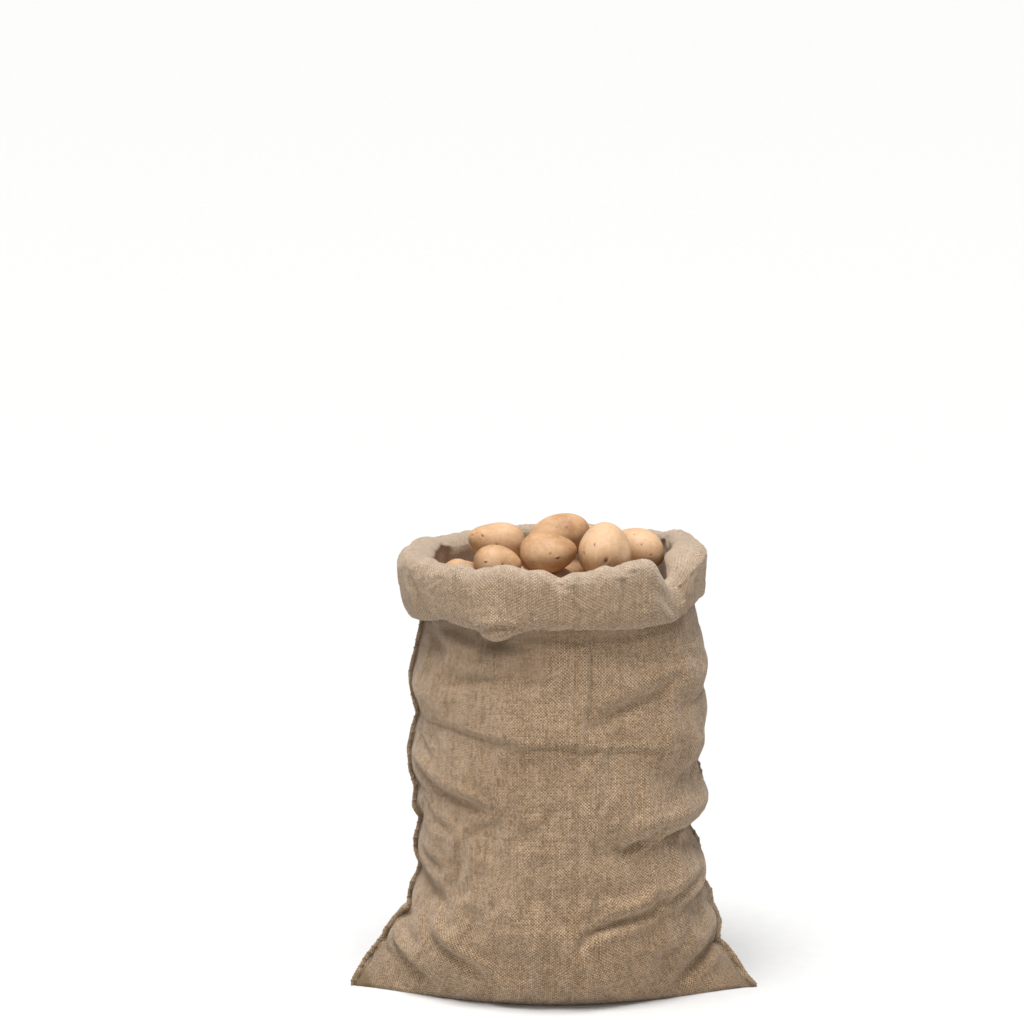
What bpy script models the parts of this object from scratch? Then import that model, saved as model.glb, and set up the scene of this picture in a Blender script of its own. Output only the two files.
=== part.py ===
"""A hessian sack that stands filled with potatoes, its mouth rolled outward into a deep soft cuff.

Metres, +Z up. The front faces -Y, the two sewn sides are at -X (left) and +X (right), and the origin is on
the floor under the middle of the sack. One cloth goes up from the flat base as the wall, over the rim, down
as the cuff, and back up inside the cuff to its hem. At the floor the wall runs out to two flat corners, the
ears.

A place on the wall is given by its bearing round the sack, in degrees, and its height. Bearing 0 is the
middle of the front, 90 the right side seam, 180 the middle of the back and -90 the left side seam.
"""

import math

import bmesh
import bpy
import numpy as np
from mathutils import Euler, Matrix, Vector
from mathutils.bvhtree import BVHTree

# Driving sizes
CLOTH = 0.0030  # the cloth's thickness, with its slubs
FLAT_WIDTH = 0.65  # the empty sack, laid flat
RIM_HEIGHT = 0.690
CUFF_EDGE = 0.597  # the height of the cuff's lower fold
HEM_SHARE = 0.72  # how far up inside the cuff the hem ends
RIM_ROUND = 0.016  # how tall the rim's soft arch is
ARCH_TURNS = (155, 125, 90, 55, 25)
FOLD_GAP = 0.0020  # between the two layers of the cuff
EAR_WELD = 0.030  # how deep the sewn double cloth of an ear is at the floor
EAR_TOP = 0.130
BOARD = 56  # points round the sack
GAP = 0.0005  # between pieces that touch
COLUMN_RADIUS = FLAT_WIDTH / math.pi  # turns a bearing into a length along the cloth
LOW_ROWS = np.arange(0.0135, 0.292, 0.0145)  # where the folds are deep
HIGH_ROWS = np.linspace(0.315, CUFF_EDGE - 0.012, 10)
WALL_HEIGHTS = np.array([0.0, 0.006, *LOW_ROWS, *HIGH_ROWS])

# The wall's horizontal sections. left, right, front and back are distances from the origin; roundness 2 is
# an ellipse and under 1 a lens with pointed ends; seam_y is where the side seams stand.
SECTION_COLUMNS = ("height", "left", "right", "front", "back", "roundness", "seam_y")
SECTIONS = (
    (0.000, 0.309, 0.308, 0.128, 0.132, 0.75, -0.034),
    (0.015, 0.302, 0.294, 0.145, 0.148, 0.82, -0.030),
    (0.040, 0.287, 0.279, 0.159, 0.161, 1.00, -0.022),
    (0.075, 0.271, 0.258, 0.169, 0.169, 1.40, -0.014),
    (0.105, 0.255, 0.249, 0.173, 0.173, 1.70, -0.008),
    (0.132, 0.224, 0.243, 0.174, 0.174, 1.90, -0.005),
    (0.160, 0.214, 0.237, 0.175, 0.175, 2.05, -0.003),
    (0.200, 0.209, 0.231, 0.174, 0.175, 2.15, 0.000),
    (0.270, 0.208, 0.225, 0.172, 0.173, 2.20, 0.000),
    (0.340, 0.216, 0.226, 0.170, 0.171, 2.20, 0.000),
    (0.410, 0.213, 0.232, 0.168, 0.170, 2.20, 0.000),
    (0.480, 0.215, 0.229, 0.166, 0.168, 2.20, 0.000),
    (0.540, 0.207, 0.226, 0.163, 0.165, 2.20, 0.000),
    (0.590, 0.195, 0.215, 0.160, 0.162, 2.20, 0.000),
    (0.640, 0.198, 0.206, 0.159, 0.161, 2.15, 0.000),
    (0.700, 0.204, 0.208, 0.158, 0.160, 2.10, 0.000),
)

# The cuff's widest section, as distances from the origin, and how its face swells between its ends
CUFF = {"left": 0.2390, "right": 0.2300, "front": 0.183, "back": 0.187, "roundness": 2.2}
CUFF_PROFILE_COLUMNS = ("height_share", "stand_off_share")
CUFF_PROFILE = ((0.0, 0.60), (0.14, 0.84), (0.35, 0.98), (0.60, 1.00), (1.0, 0.88))

# Creases in the wall, each from its deep end (a) to the end where it fades out (b). depth is how far the valley
# goes in; above and below are the valley's widths on either side of its line; sag bends the line down.
CREASE_COLUMNS = ("bearing_a", "height_a", "bearing_b", "height_b", "depth", "above", "below", "sag")
CREASES = (
    # right side, three deep folds one above another, then shallower ones
    (114, 0.276, 12, 0.250, 0.0360, 0.016, 0.048, -0.006),
    (106, 0.180, 8, 0.134, 0.0180, 0.017, 0.036, 0.004),
    (98, 0.083, 34, 0.052, 0.0150, 0.015, 0.026, 0.004),
    (92, 0.365, 38, 0.372, 0.0080, 0.020, 0.030, 0.003),
    (88, 0.478, 24, 0.466, 0.0055, 0.026, 0.034, 0.006),
    # left side
    (-100, 0.214, -44, 0.152, 0.0150, 0.016, 0.028, 0.002),
    (-99, 0.128, -34, 0.080, 0.0190, 0.015, 0.022, 0.003),
    (-86, 0.072, -38, 0.034, 0.0100, 0.013, 0.022, 0.002),
    (-91, 0.322, -34, 0.322, 0.0090, 0.018, 0.032, -0.004),
    (-90, 0.448, -48, 0.440, 0.0075, 0.020, 0.026, 0.003),
    (-52, 0.434, 62, 0.384, 0.0030, 0.018, 0.024, 0.002),
    (-64, 0.560, 6, 0.548, 0.0060, 0.024, 0.034, 0.008),
    (24, 0.566, 74, 0.540, 0.0050, 0.024, 0.034, 0.004),
    # back
    (-98, 0.262, -160, 0.236, 0.0180, 0.017, 0.034, 0.004),
    (-108, 0.160, -172, 0.128, 0.0140, 0.016, 0.032, 0.003),
    (-100, 0.086, -146, 0.050, 0.0130, 0.014, 0.026, 0.002),
    (-158, 0.318, 156, 0.262, 0.0110, 0.020, 0.034, 0.004),
    (106, 0.112, 156, 0.072, 0.0140, 0.015, 0.028, 0.003),
    (98, 0.400, 170, 0.372, 0.0090, 0.020, 0.034, 0.004),
    (-100, 0.430, 176, 0.452, 0.0070, 0.020, 0.034, 0.005),
)
ROLL_SHARE = 0.40  # how far the cloth above a crease swells, as a share of the crease's depth
ROLL_PLACE, ROLL_WIDTH = 1.9, 1.3  # where that swelling is and how wide, in widths of the valley's upper side
HANG_SHARE = 0.50  # how far the same cloth hangs down over the crease
HANG_PLACE, HANG_WIDTH = 0.7, 1.2
END_FADE, END_FADE_SHARE = 0.030, 1.7  # a crease's fade past its deep end: a length, and a share of its depth
FLOOR_FADE = 0.030  # creases vanish this near the floor, so that the base is flat
CUFF_FADE_FROM, CUFF_FADE = 0.617, 0.050  # and up here, behind the cuff

# Slow swells of the whole wall: waves round the sack, waves per metre of height, height and phase
SWELL_COLUMNS = ("waves_round", "waves_up", "size", "phase")
SWELLS = ((3, 3.1, 0.0016, 0.4), (5, -4.3, 0.0014, 2.1), (7, 6.2, 0.0011, 4.0), (2, 9.1, 0.0010, 1.3))

# Waves of the rim and of the cuff's lower fold: rise lifts it, push moves it outward, spread is in degrees
WAVE_COLUMNS = ("bearing", "rise", "push", "spread")
RIM_WAVES = (
    (3, -0.006, 0.000, 9),
    (34, 0.013, 0.002, 14),
    (56, -0.026, -0.010, 8),
    (84, 0.012, 0.002, 14),
    (116, 0.014, 0.000, 20),
    (152, -0.003, 0.000, 14),
    (-172, 0.003, 0.000, 16),
    (-130, -0.002, 0.000, 18),
    (-74, 0.006, 0.003, 12),
    (-34, 0.002, 0.002, 9),
)
CUFF_EDGE_WAVES = (
    (-90, -0.014, 0.000, 20),
    (-52, 0.002, 0.002, 10),
    (-24, -0.007, 0.006, 10),
    (8, 0.004, 0.000, 14),
    (78, 0.020, 0.000, 20),
    (140, -0.006, 0.002, 18),
    (-150, 0.005, 0.000, 16),
)

# Where the rim leans in over the potatoes, and how far
LEAN_COLUMNS = ("bearing", "far", "spread")
LEANS = ((88, 0.028, 26), (52, 0.008, 8), (-96, 0.004, 16))
LEAN_FROM = 0.600

# The side seams: the cloth's edges, turned together and oversewn into a rope-like welt
SEAM_WIDE = 0.0100
SEAM_THICK = 0.0052
SEAM_BEND = 0.012  # the seam bridges any notch in the cloth's edge that is tighter than this
SEAM_SIDES = 8
SEAM_STEP = 0.011
SEAM_OFF = 0.0014  # the welt's gap to the cloth
SEAM_WAVE = 0.0022  # how far the welt wanders to and fro
SEAM_WAVE_LENGTH = 0.042
# Where each seam runs: its bearing at a height, and how far the welt is turned back, 0 being straight out
SEAM_COLUMNS = ("height", "bearing", "turn")
SEAM_PATHS = {
    "left": ((0.0, -90, -14), (0.7, -90, -14)),
    "right": ((0.0, 90, 8), (0.05, 90, 8), (0.12, 94, 55), (0.24, 104, 74), (0.7, 106, 74)),
}

# The potatoes below the ones that show, as one heap
HEAP_INSET = 0.030
HEAP_TOP = 0.612
HEAP_EDGE = 0.592  # where the heap begins to round over to its top
HEAP_HEIGHTS = (0.010, 0.05, 0.09, 0.13, 0.17, 0.21, 0.24, 0.262, 0.28, 0.30, 0.33, 0.37, 0.45, 0.53, HEAP_EDGE)
HEAP_DOME = 0.010
HEAP_BUMP = 0.007
HEAP_BOARD = 28

# The potatoes, in the order in which they are laid in: where each is let down, its length, width and
# thickness, and how it is turned, in degrees
POTATO_COLUMNS = ("x", "y", "long", "wide", "thick", "yaw", "pitch", "roll")
POTATOES = (
    # the layer that lies on the heap
    (-0.100, -0.100, 0.078, 0.060, 0.045, 20, 0, 10),
    (-0.026, -0.112, 0.084, 0.062, 0.050, -8, 4, 0),
    (0.054, -0.112, 0.076, 0.060, 0.050, 12, 0, -8),
    (0.122, -0.082, 0.072, 0.058, 0.048, 42, 4, 0),
    (-0.150, -0.031, 0.078, 0.062, 0.069, 84, 0, 6),
    (-0.084, -0.028, 0.080, 0.064, 0.053, 28, -4, 0),
    (0.000, -0.044, 0.072, 0.064, 0.050, -36, 0, 8),
    (0.094, -0.020, 0.078, 0.060, 0.052, 60, 0, 0),
    (0.132, 0.048, 0.068, 0.052, 0.044, 100, -3, 0),
    (-0.142, 0.044, 0.070, 0.058, 0.050, 118, 0, 0),
    (-0.070, 0.048, 0.080, 0.062, 0.056, -30, 0, 6),
    (0.010, 0.036, 0.084, 0.062, 0.052, 14, 3, 0),
    (0.074, 0.050, 0.072, 0.058, 0.050, -60, 0, 0),
    (-0.086, 0.108, 0.072, 0.054, 0.048, 24, 0, 0),
    (-0.006, 0.112, 0.080, 0.056, 0.050, -6, 0, 0),
    (0.076, 0.112, 0.074, 0.054, 0.048, -22, 0, 0),
    # the ones on top
    (-0.088, -0.074, 0.074, 0.060, 0.054, -6, 3, 0),
    (-0.086, 0.020, 0.086, 0.064, 0.060, -10, 4, 0),
    (0.006, 0.036, 0.102, 0.064, 0.060, 8, -10, 10),
    (-0.014, -0.062, 0.090, 0.072, 0.064, -10, -4, 0),
    (0.076, -0.055, 0.092, 0.088, 0.083, 68, -18, 0),
    (0.124, 0.012, 0.090, 0.066, 0.060, -22, 14, 0),
    (0.060, 0.092, 0.076, 0.058, 0.050, 30, 0, 0),
)
DROP_FROM = 0.800
DROP_STEP = 0.004
NUDGE = 0.004  # the step by which a potato slides into the hollow beside it
MOST_SLIDE = 0.005
POTATO_RING = 12
POTATO_ROWS = 8

MATERIALS = {
    "hessian": ((0.42, 0.31, 0.20), 0.95),
    "seam_yarn": ((0.36, 0.25, 0.15), 0.95),
    "potato_skin": ((0.66, 0.44, 0.23), 0.62),
}


def named(columns, rows):
    """A table's rows as one array for each named column."""
    return dict(zip(columns, np.array(rows, float).T))


def smooth(x, xs, ys):
    """The height at x of a smooth curve through the points (xs, ys)."""
    x = np.clip(x, xs[0], xs[-1])
    i = np.clip(np.searchsorted(xs, x) - 1, 0, len(xs) - 2)
    slopes = np.gradient(ys, xs)
    span = xs[i + 1] - xs[i]
    t = (x - xs[i]) / span
    here = (2 * t**3 - 3 * t**2 + 1) * ys[i] + (t**3 - 2 * t**2 + t) * span * slopes[i]
    there = (3 * t**2 - 2 * t**3) * ys[i + 1] + (t**3 - t**2) * span * slopes[i + 1]
    return here + there


def section(height):
    """The wall's section at each height, as one array for each column of SECTIONS."""
    table = named(SECTION_COLUMNS, SECTIONS)
    return {name: smooth(height, table["height"], table[name]) for name in SECTION_COLUMNS[1:]}


def bell(x, width):
    return np.exp(-((x / width) ** 2))


def round_from(bearing, degrees):
    """How far round the sack each bearing, in radians, is from one given in degrees, the short way."""
    return np.angle(np.exp(1j * (bearing - math.radians(degrees))))


def waves(table, bearing):
    """How far a table of waves lifts and pushes the cloth at each bearing, in radians."""
    rise, push = np.zeros_like(bearing), np.zeros_like(bearing)
    for row in table:
        wave = dict(zip(WAVE_COLUMNS, row))
        share = bell(round_from(bearing, wave["bearing"]), math.radians(wave["spread"]))
        rise += wave["rise"] * share
        push += wave["push"] * share
    return rise, push


def crease(c, bearing, height):
    """How far one crease pushes the wall outward, and how far down the cloth above it hangs."""
    turn = round_from(math.radians(c["bearing_b"]), c["bearing_a"])
    run = Vector((turn * COLUMN_RADIUS, c["height_b"] - c["height_a"]))
    unit = run.normalized()
    across = round_from(bearing, c["bearing_a"]) * COLUMN_RADIUS
    up = height - c["height_a"]
    share = (across * unit.x + up * unit.y) / run.length
    above = (up * unit.x - across * unit.y) * math.copysign(1, unit.x) + c["sag"] * 4 * share * (1 - share)
    past_start = bell(share * run.length, END_FADE + END_FADE_SHARE * c["depth"])
    size = c["depth"] * np.where(share < 0, past_start, np.clip(1 - share, 0, 1) ** 0.9)
    valley = np.where(above > 0, bell(above, c["above"]), np.exp(-(np.abs(above / c["below"]) ** 1.5)))
    roll = bell(above - ROLL_PLACE * c["above"], ROLL_WIDTH * c["above"])
    hang = bell(above - HANG_PLACE * c["above"], HANG_WIDTH * c["above"])
    return size * (ROLL_SHARE * roll - valley), size * HANG_SHARE * hang


def folds(bearing, height):
    """How far outward the creases and swells push the wall, and how far down they let it hang."""
    out, down = np.zeros_like(bearing), np.zeros_like(bearing)
    for row in CREASES:
        one_out, one_down = crease(dict(zip(CREASE_COLUMNS, row)), bearing, height)
        out += one_out
        down += one_down
    for row in SWELLS:
        s = dict(zip(SWELL_COLUMNS, row))
        out += s["size"] * np.sin(s["waves_round"] * bearing + math.tau * s["waves_up"] * height + s["phase"])
    free = np.clip(height / FLOOR_FADE, 0, 1) * np.clip((CUFF_FADE_FROM - height) / CUFF_FADE, 0, 1)
    return out * free, down * free


def lean(bearing, height):
    """How far the rim leans in at each place."""
    rise = np.clip((height - LEAN_FROM) / (RIM_HEIGHT - LEAN_FROM), 0, 1) ** 1.5
    total = np.zeros_like(bearing + height)
    for row in LEANS:
        one = dict(zip(LEAN_COLUMNS, row))
        total += one["far"] * rise * bell(round_from(bearing, one["bearing"]), math.radians(one["spread"]))
    return total


def outward(bearing, s):
    """The level direction straight out of an unfolded section at each bearing, as x and y."""
    side, ahead = np.sin(bearing), np.cos(bearing)
    reach = np.where(side < 0, s["left"], s["right"])
    depth = np.where(ahead > 0, s["front"] + s["seam_y"], s["back"] - s["seam_y"])
    slope = np.hypot(depth * side, reach * ahead)
    return depth * side / slope, -reach * ahead / slope


def wall(bearing, height, inset=0.0, folded=True, leaning=True):
    """Points of the wall, or of the surface that lies inset inside it."""
    bearing, height = np.broadcast_arrays(np.asarray(bearing, float), np.asarray(height, float))
    s = section(height)
    side, ahead = np.sin(bearing), np.cos(bearing)
    weld = EAR_WELD * np.clip(1 - height / EAR_TOP, 0, 1) * np.abs(side) ** 12 * (inset > 0)
    reach = np.where(side < 0, s["left"], s["right"]) - inset - weld
    depth = np.where(ahead > 0, s["front"] + s["seam_y"], s["back"] - s["seam_y"]) - inset
    x = reach * side
    y = s["seam_y"] - np.sign(ahead) * depth * np.abs(ahead) ** (2 / s["roundness"])
    out, down = folds(bearing, height) if folded else (0 * x, 0 * x)
    if leaning:
        out = out - lean(bearing, height)
    out_x, out_y = outward(bearing, s)
    return np.stack([x + out * out_x, y + out * out_y, height - down], axis=-1)


def cuff_outline(bearing):
    """The cuff's widest section."""
    side, ahead = np.sin(bearing), np.cos(bearing)
    reach = np.where(side < 0, CUFF["left"], CUFF["right"])
    depth = np.where(ahead > 0, CUFF["front"], CUFF["back"])
    y = -np.sign(ahead) * depth * np.abs(ahead) ** (2 / CUFF["roundness"])
    return np.stack([reach * side, y], axis=-1)


def sack_rows(bearing):
    """The rows of points that go once round the cloth's cut profile, from the outer base to the inner base."""
    rim_rise, rim_push = waves(RIM_WAVES, bearing)
    edge_rise, edge_push = waves(CUFF_EDGE_WAVES, bearing)
    top = RIM_HEIGHT + rim_rise
    edge = CUFF_EDGE + edge_rise
    behind = wall(bearing, (top + edge) / 2, folded=False, leaning=False)[:, :2]
    straight = cuff_outline(bearing) - behind
    stand_off = np.hypot(straight[:, 0], straight[:, 1])
    straight = straight / stand_off[:, None]
    profile_columns = named(CUFF_PROFILE_COLUMNS, CUFF_PROFILE).values()

    def profile(share):
        """How much of its stand-off the cuff has at a share of its height."""
        return smooth(np.array([share]), *profile_columns)[0]

    def at(height, out):
        """Points that stand out from where the wall would be if it didn't lean."""
        start = wall(bearing, height, folded=False, leaning=False)
        start[:, :2] += straight * out[:, None]
        return start

    def cuff(share, layer_depth):
        """Points on the cuff at a share of its height, layer_depth inside its outer face."""
        height = edge + share * (top - edge)
        push = edge_push * (1 - share) + rim_push * share
        return at(height, (stand_off + push) * profile(share) - layer_depth)

    def arch(inside):
        """The rim's arch, from the wall over to the cuff, or with CLOTH its underside."""
        far = (stand_off + rim_push) * profile(1.0)
        near = -CLOTH - lean(bearing, top - RIM_ROUND)
        middle, half = (far + near) / 2, (far - near) / 2
        rows = []
        for degrees in ARCH_TURNS:
            a = math.radians(degrees)
            out = middle + (half - inside) * math.cos(a) + rim_push / 2 * math.sin(a)
            rows.append(at(top - RIM_ROUND + (RIM_ROUND - inside) * math.sin(a), out))
        return rows

    def lower_fold(radius, turns):
        """The fold at the cuff's lower edge, about the middle of its two layers."""
        half_thick = CLOTH + FOLD_GAP / 2
        face = (stand_off + edge_push) * profile(0.0)
        rows = []
        for degrees in turns:
            a = math.radians(degrees)
            height = edge + half_thick + radius * math.sin(a)
            rows.append(at(height, face - half_thick + radius * math.cos(a)))
        return rows

    behind_cuff = [edge + share * (top - RIM_ROUND - edge) for share in (0.12, 0.5, 1.0)]
    outer_wall = [wall(bearing, h) for h in WALL_HEIGHTS]
    outer_wall += [wall(bearing, h, folded=False) for h in behind_cuff]
    inner_wall = [wall(bearing, max(h, CLOTH), CLOTH) for h in WALL_HEIGHTS]
    inner_wall += [wall(bearing, h, CLOTH, folded=False) for h in behind_cuff]
    return [
        *outer_wall,
        *arch(CLOTH),
        *(cuff(share, CLOTH) for share in (0.70, 0.40, 0.14)),
        *lower_fold(FOLD_GAP / 2, (0, -90, -180)),
        *(cuff(share, CLOTH + FOLD_GAP) for share in (0.35, HEM_SHARE)),
        *(cuff(share, 2 * CLOTH + FOLD_GAP) for share in (HEM_SHARE, 0.35)),
        *lower_fold(CLOTH + FOLD_GAP / 2, (-180, -120, -60, 0)),
        *(cuff(share, 0.0) for share in (0.20, 0.45, 0.70)),
        *reversed(arch(0.0)),
        *reversed(inner_wall),
    ]


def material(name):
    """The named plain material, made once."""
    found = bpy.data.materials.get(name)
    if found:
        return found
    colour, roughness = MATERIALS[name]
    made = bpy.data.materials.new(name)
    made.use_nodes = True
    shader = made.node_tree.nodes["Principled BSDF"]
    shader.inputs["Base Color"].default_value = (*colour, 1)
    shader.inputs["Roughness"].default_value = roughness
    shader.inputs["Metallic"].default_value = 0.0
    return made


def add_object(name, bm, finish):
    """A named object that holds the bmesh, in triangles, with its material, shaded smooth."""
    bmesh.ops.triangulate(bm, faces=bm.faces)
    bmesh.ops.recalc_face_normals(bm, faces=bm.faces)
    mesh = bpy.data.meshes.new(name)
    bm.to_mesh(mesh)
    bm.free()
    mesh.materials.append(material(finish))
    mesh.shade_smooth()
    made = bpy.data.objects.new(name, mesh)
    bpy.context.scene.collection.objects.link(made)
    return made


def skin(bm, rows):
    """Closed rings of vertices at the rows' points, each joined to the next by a band of faces."""
    rings = [[bm.verts.new(point) for point in row] for row in rows]
    for ring in rings:
        for i, vert in enumerate(ring):
            bm.edges.new((vert, ring[(i + 1) % len(ring)]))
    for lower, upper in zip(rings, rings[1:]):
        for i in range(len(lower)):
            j = (i + 1) % len(lower)
            bm.faces.new((lower[i], lower[j], upper[j], upper[i]))
    return rings


def close_across(bm, ring):
    """A flat floor over a ring of the sack, as strips that run from its front to its back."""
    half = len(ring) // 2
    for k in range(-half // 2, half // 2):
        corners = [ring[k], ring[k + 1], ring[half - k - 1], ring[half - k]]
        bm.faces.new(list(dict.fromkeys(corners)))


def bearings(count):
    return np.arange(count) * math.tau / count


def add_sack():
    """The whole cloth: base, wall, rim, cuff and hem, as one hollow solid."""
    bm = bmesh.new()
    rings = skin(bm, sack_rows(bearings(BOARD)))
    close_across(bm, rings[0])
    close_across(bm, rings[-1])
    return add_object("sack", bm, "hessian")


def rolled(out, up, radius, places, sign):
    """Where the centre of a disc that rolls over the line (out, up) stands at each place, outside it or inside."""
    away = np.abs(places[:, None] - up)
    lift = np.sqrt(np.clip(radius**2 - away**2, 0, None))
    centres = np.where(away <= radius, out + sign * lift, -sign * np.inf)
    return sign * np.max(sign * centres, axis=1)


def seam_path(side, height):
    """A seam's bearing and its turn at each height, in radians."""
    table = named(SEAM_COLUMNS, SEAM_PATHS[side])
    return (np.radians(np.interp(height, table["height"], table[name])) for name in ("bearing", "turn"))


def seam_line(side):
    """The welt's centre line, from under the cuff down to the tip of the ear, just clear of the cloth."""
    edge_rise, _ = waves(CUFF_EDGE_WAVES, np.radians([SEAM_PATHS[side][-1][1]]))
    places = np.linspace(CUFF_EDGE + edge_rise[0] - SEAM_WIDE, 2 * GAP, 500)
    path, turn = seam_path(side, places)
    out_x, out_y = outward(path, section(places))
    rows = np.arange(len(WALL_HEIGHTS))
    fine = np.linspace(0, rows[-1], 500)
    outs, ups = [], []
    for step in (-1, 0, 1):
        points = wall(path[:, None] + step * math.tau / BOARD, WALL_HEIGHTS[None, :])
        reach = points[..., 0] * out_x[:, None] + points[..., 1] * out_y[:, None]
        outs.append([np.interp(fine, rows, row) for row in reach])
        ups.append([np.interp(fine, rows, row) for row in points[..., 2]])
    far = rolled(np.concatenate(outs, axis=1), np.concatenate(ups, axis=1), SEAM_BEND, places, 1)
    keep_off = np.hypot(SEAM_WIDE * np.cos(turn), SEAM_THICK * np.sin(turn)) / 2 + SEAM_OFF
    near = rolled(far[None, :], places[None, :], (SEAM_BEND - keep_off)[:, None], places, -1)
    start = wall(path, places)
    along = start[:, 1] * out_x - start[:, 0] * out_y
    return np.stack([near * out_x - along * out_y, near * out_y + along * out_x, places], axis=1)


def spaced(line, step):
    """Points along a line, about a step apart."""
    lengths = np.concatenate([[0], np.cumsum(np.linalg.norm(np.diff(line, axis=0), axis=1))])
    wanted = np.linspace(0, lengths[-1], max(2, round(lengths[-1] / step)))
    return np.stack([np.interp(wanted, lengths, line[:, k]) for k in range(3)], axis=1), wanted


def add_seam(side):
    """The welt along one side: an oval rope that stands out from the cloth's edge."""
    line, run = spaced(seam_line(side), SEAM_STEP)
    path, turn = seam_path(side, line[:, 2])
    out_x, out_y = outward(path, section(line[:, 2]))
    hand = {"left": 1, "right": -1}[side]
    rows = []
    for i, point in enumerate(line):
        along = Vector(line[min(i + 1, len(line) - 1)] - line[max(i - 1, 0)]).normalized()
        straight, aside = Vector((out_x[i], out_y[i], 0)), Vector((out_y[i], -out_x[i], 0)) * hand
        out = straight * math.cos(turn[i]) + aside * math.sin(turn[i]) + Vector((0, 0, 0.35))
        out = (out - along * out.dot(along)).normalized()
        over = along.cross(out)
        wander = SEAM_WAVE * math.sin(math.tau * run[i] / SEAM_WAVE_LENGTH)
        centre = Vector(point) + aside * wander
        row = []
        for k in range(SEAM_SIDES):
            a = math.tau * k / SEAM_SIDES
            spot = centre + out * math.cos(a) * SEAM_WIDE / 2 + over * math.sin(a) * SEAM_THICK / 2
            spot.z = max(spot.z, GAP)
            row.append(spot)
        rows.append(row)
    bm = bmesh.new()
    rings = skin(bm, rows)
    for ring in (rings[0], rings[-1]):
        bm.faces.new(ring)
    return add_object(f"side_seam_{side}", bm, "seam_yarn")


def add_heap():
    """The potatoes that don't show, as one solid that fills the sack up to the ones that do."""
    turn = bearings(HEAP_BOARD)
    rows = [wall(turn, h, HEAP_INSET) for h in HEAP_HEIGHTS]
    rim = wall(turn, HEAP_TOP, HEAP_INSET + 0.010, folded=False)
    for share in (1.0, 0.72, 0.42, 0.14):
        ring = rim.copy()
        ring[:, :2] *= share
        bumps = HEAP_BUMP * np.cos(70 * ring[:, 0] + 1.0) * np.cos(80 * ring[:, 1])
        ring[:, 2] += HEAP_DOME * (1 - share**2) + bumps * (share < 1)
        rows.append(ring)
    bm = bmesh.new()
    rings = skin(bm, rows)
    for ring in (rings[0], rings[-1]):
        bm.faces.new(ring)
    return add_object("potato_heap", bm, "potato_skin")


def add_potato(number, row):
    """One potato at the origin: an uneven ellipsoid, fatter at one end."""
    size = dict(zip(POTATO_COLUMNS, row))
    bm = bmesh.new()
    bmesh.ops.create_uvsphere(bm, u_segments=POTATO_RING, v_segments=POTATO_ROWS, radius=0.5)
    phase = 1.7 * number
    for vert in bm.verts:
        d = vert.co.normalized()
        lump = 0.030 * math.sin(3.1 * d.x + 2.0 * d.y + phase) + 0.022 * math.sin(4.3 * d.z - 2.2 * d.x + phase)
        fat = 1 + 0.07 * d.x * math.cos(phase)
        wide, thick = size["wide"] * fat, size["thick"] * fat
        vert.co = Vector((vert.co.x * size["long"], vert.co.y * wide, vert.co.z * thick)) * (1 + lump)
    potato = add_object(f"potato_{number:02d}", bm, "potato_skin")
    potato.rotation_euler = Euler([math.radians(size[name]) for name in ("roll", "pitch", "yaw")])
    return potato, size


def shell(obj, place=None, swell=1.0):
    """A search tree of the object's surface, turned as the object is, at its own or another place."""
    turn = obj.rotation_euler.to_matrix().to_4x4() @ Matrix.Scale(swell, 4)
    move = Matrix.Translation(obj.location if place is None else place) @ turn
    points = [move @ v.co for v in obj.data.vertices]
    return BVHTree.FromPolygons(points, [p.vertices[:] for p in obj.data.polygons])


def lay_in(potato, x, y, settled):
    """Lets the potato down at (x, y) until it rests, sliding it a little into any hollow beside it."""
    reach = max(v.co.length for v in potato.data.vertices)
    swell = 1 + 1.5 * GAP / reach

    def rest_height(px, py, start):
        """The lowest height from start down at which the potato touches nothing."""
        height, step = start, DROP_STEP
        while step > GAP / 4:
            lower = shell(potato, (px, py, height - step), swell)
            if any(lower.overlap(other) for other in settled):
                step /= 2
            else:
                height -= step
        return height

    def clear(px, py, height):
        here = shell(potato, (px, py, height), swell)
        return not any(here.overlap(other) for other in settled)

    best = (rest_height(x, y, DROP_FROM), x, y)
    improved = True
    while improved:
        improved = False
        height, cx, cy = best
        for k in range(8):
            nx = cx + NUDGE * math.cos(k * math.pi / 4)
            ny = cy + NUDGE * math.sin(k * math.pi / 4)
            if math.hypot(nx - x, ny - y) > MOST_SLIDE or not clear(nx, ny, height + NUDGE):
                continue
            found = rest_height(nx, ny, height + NUDGE)
            if found < best[0] - GAP:
                best = (found, nx, ny)
                improved = True
    potato.location = (best[1], best[2], best[0])


def add_potatoes(sack, heap):
    """Every potato that shows, or lies against one that does, laid in one after another."""
    settled = [shell(sack), shell(heap)]
    for number, row in enumerate(POTATOES, start=1):
        potato, size = add_potato(number, row)
        lay_in(potato, size["x"], size["y"], settled)
        settled.append(shell(potato))


def main():
    for obj in list(bpy.data.objects):
        bpy.data.objects.remove(obj)
    sack = add_sack()
    for side in ("left", "right"):
        add_seam(side)
    add_potatoes(sack, add_heap())


main()
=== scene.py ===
import math

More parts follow.
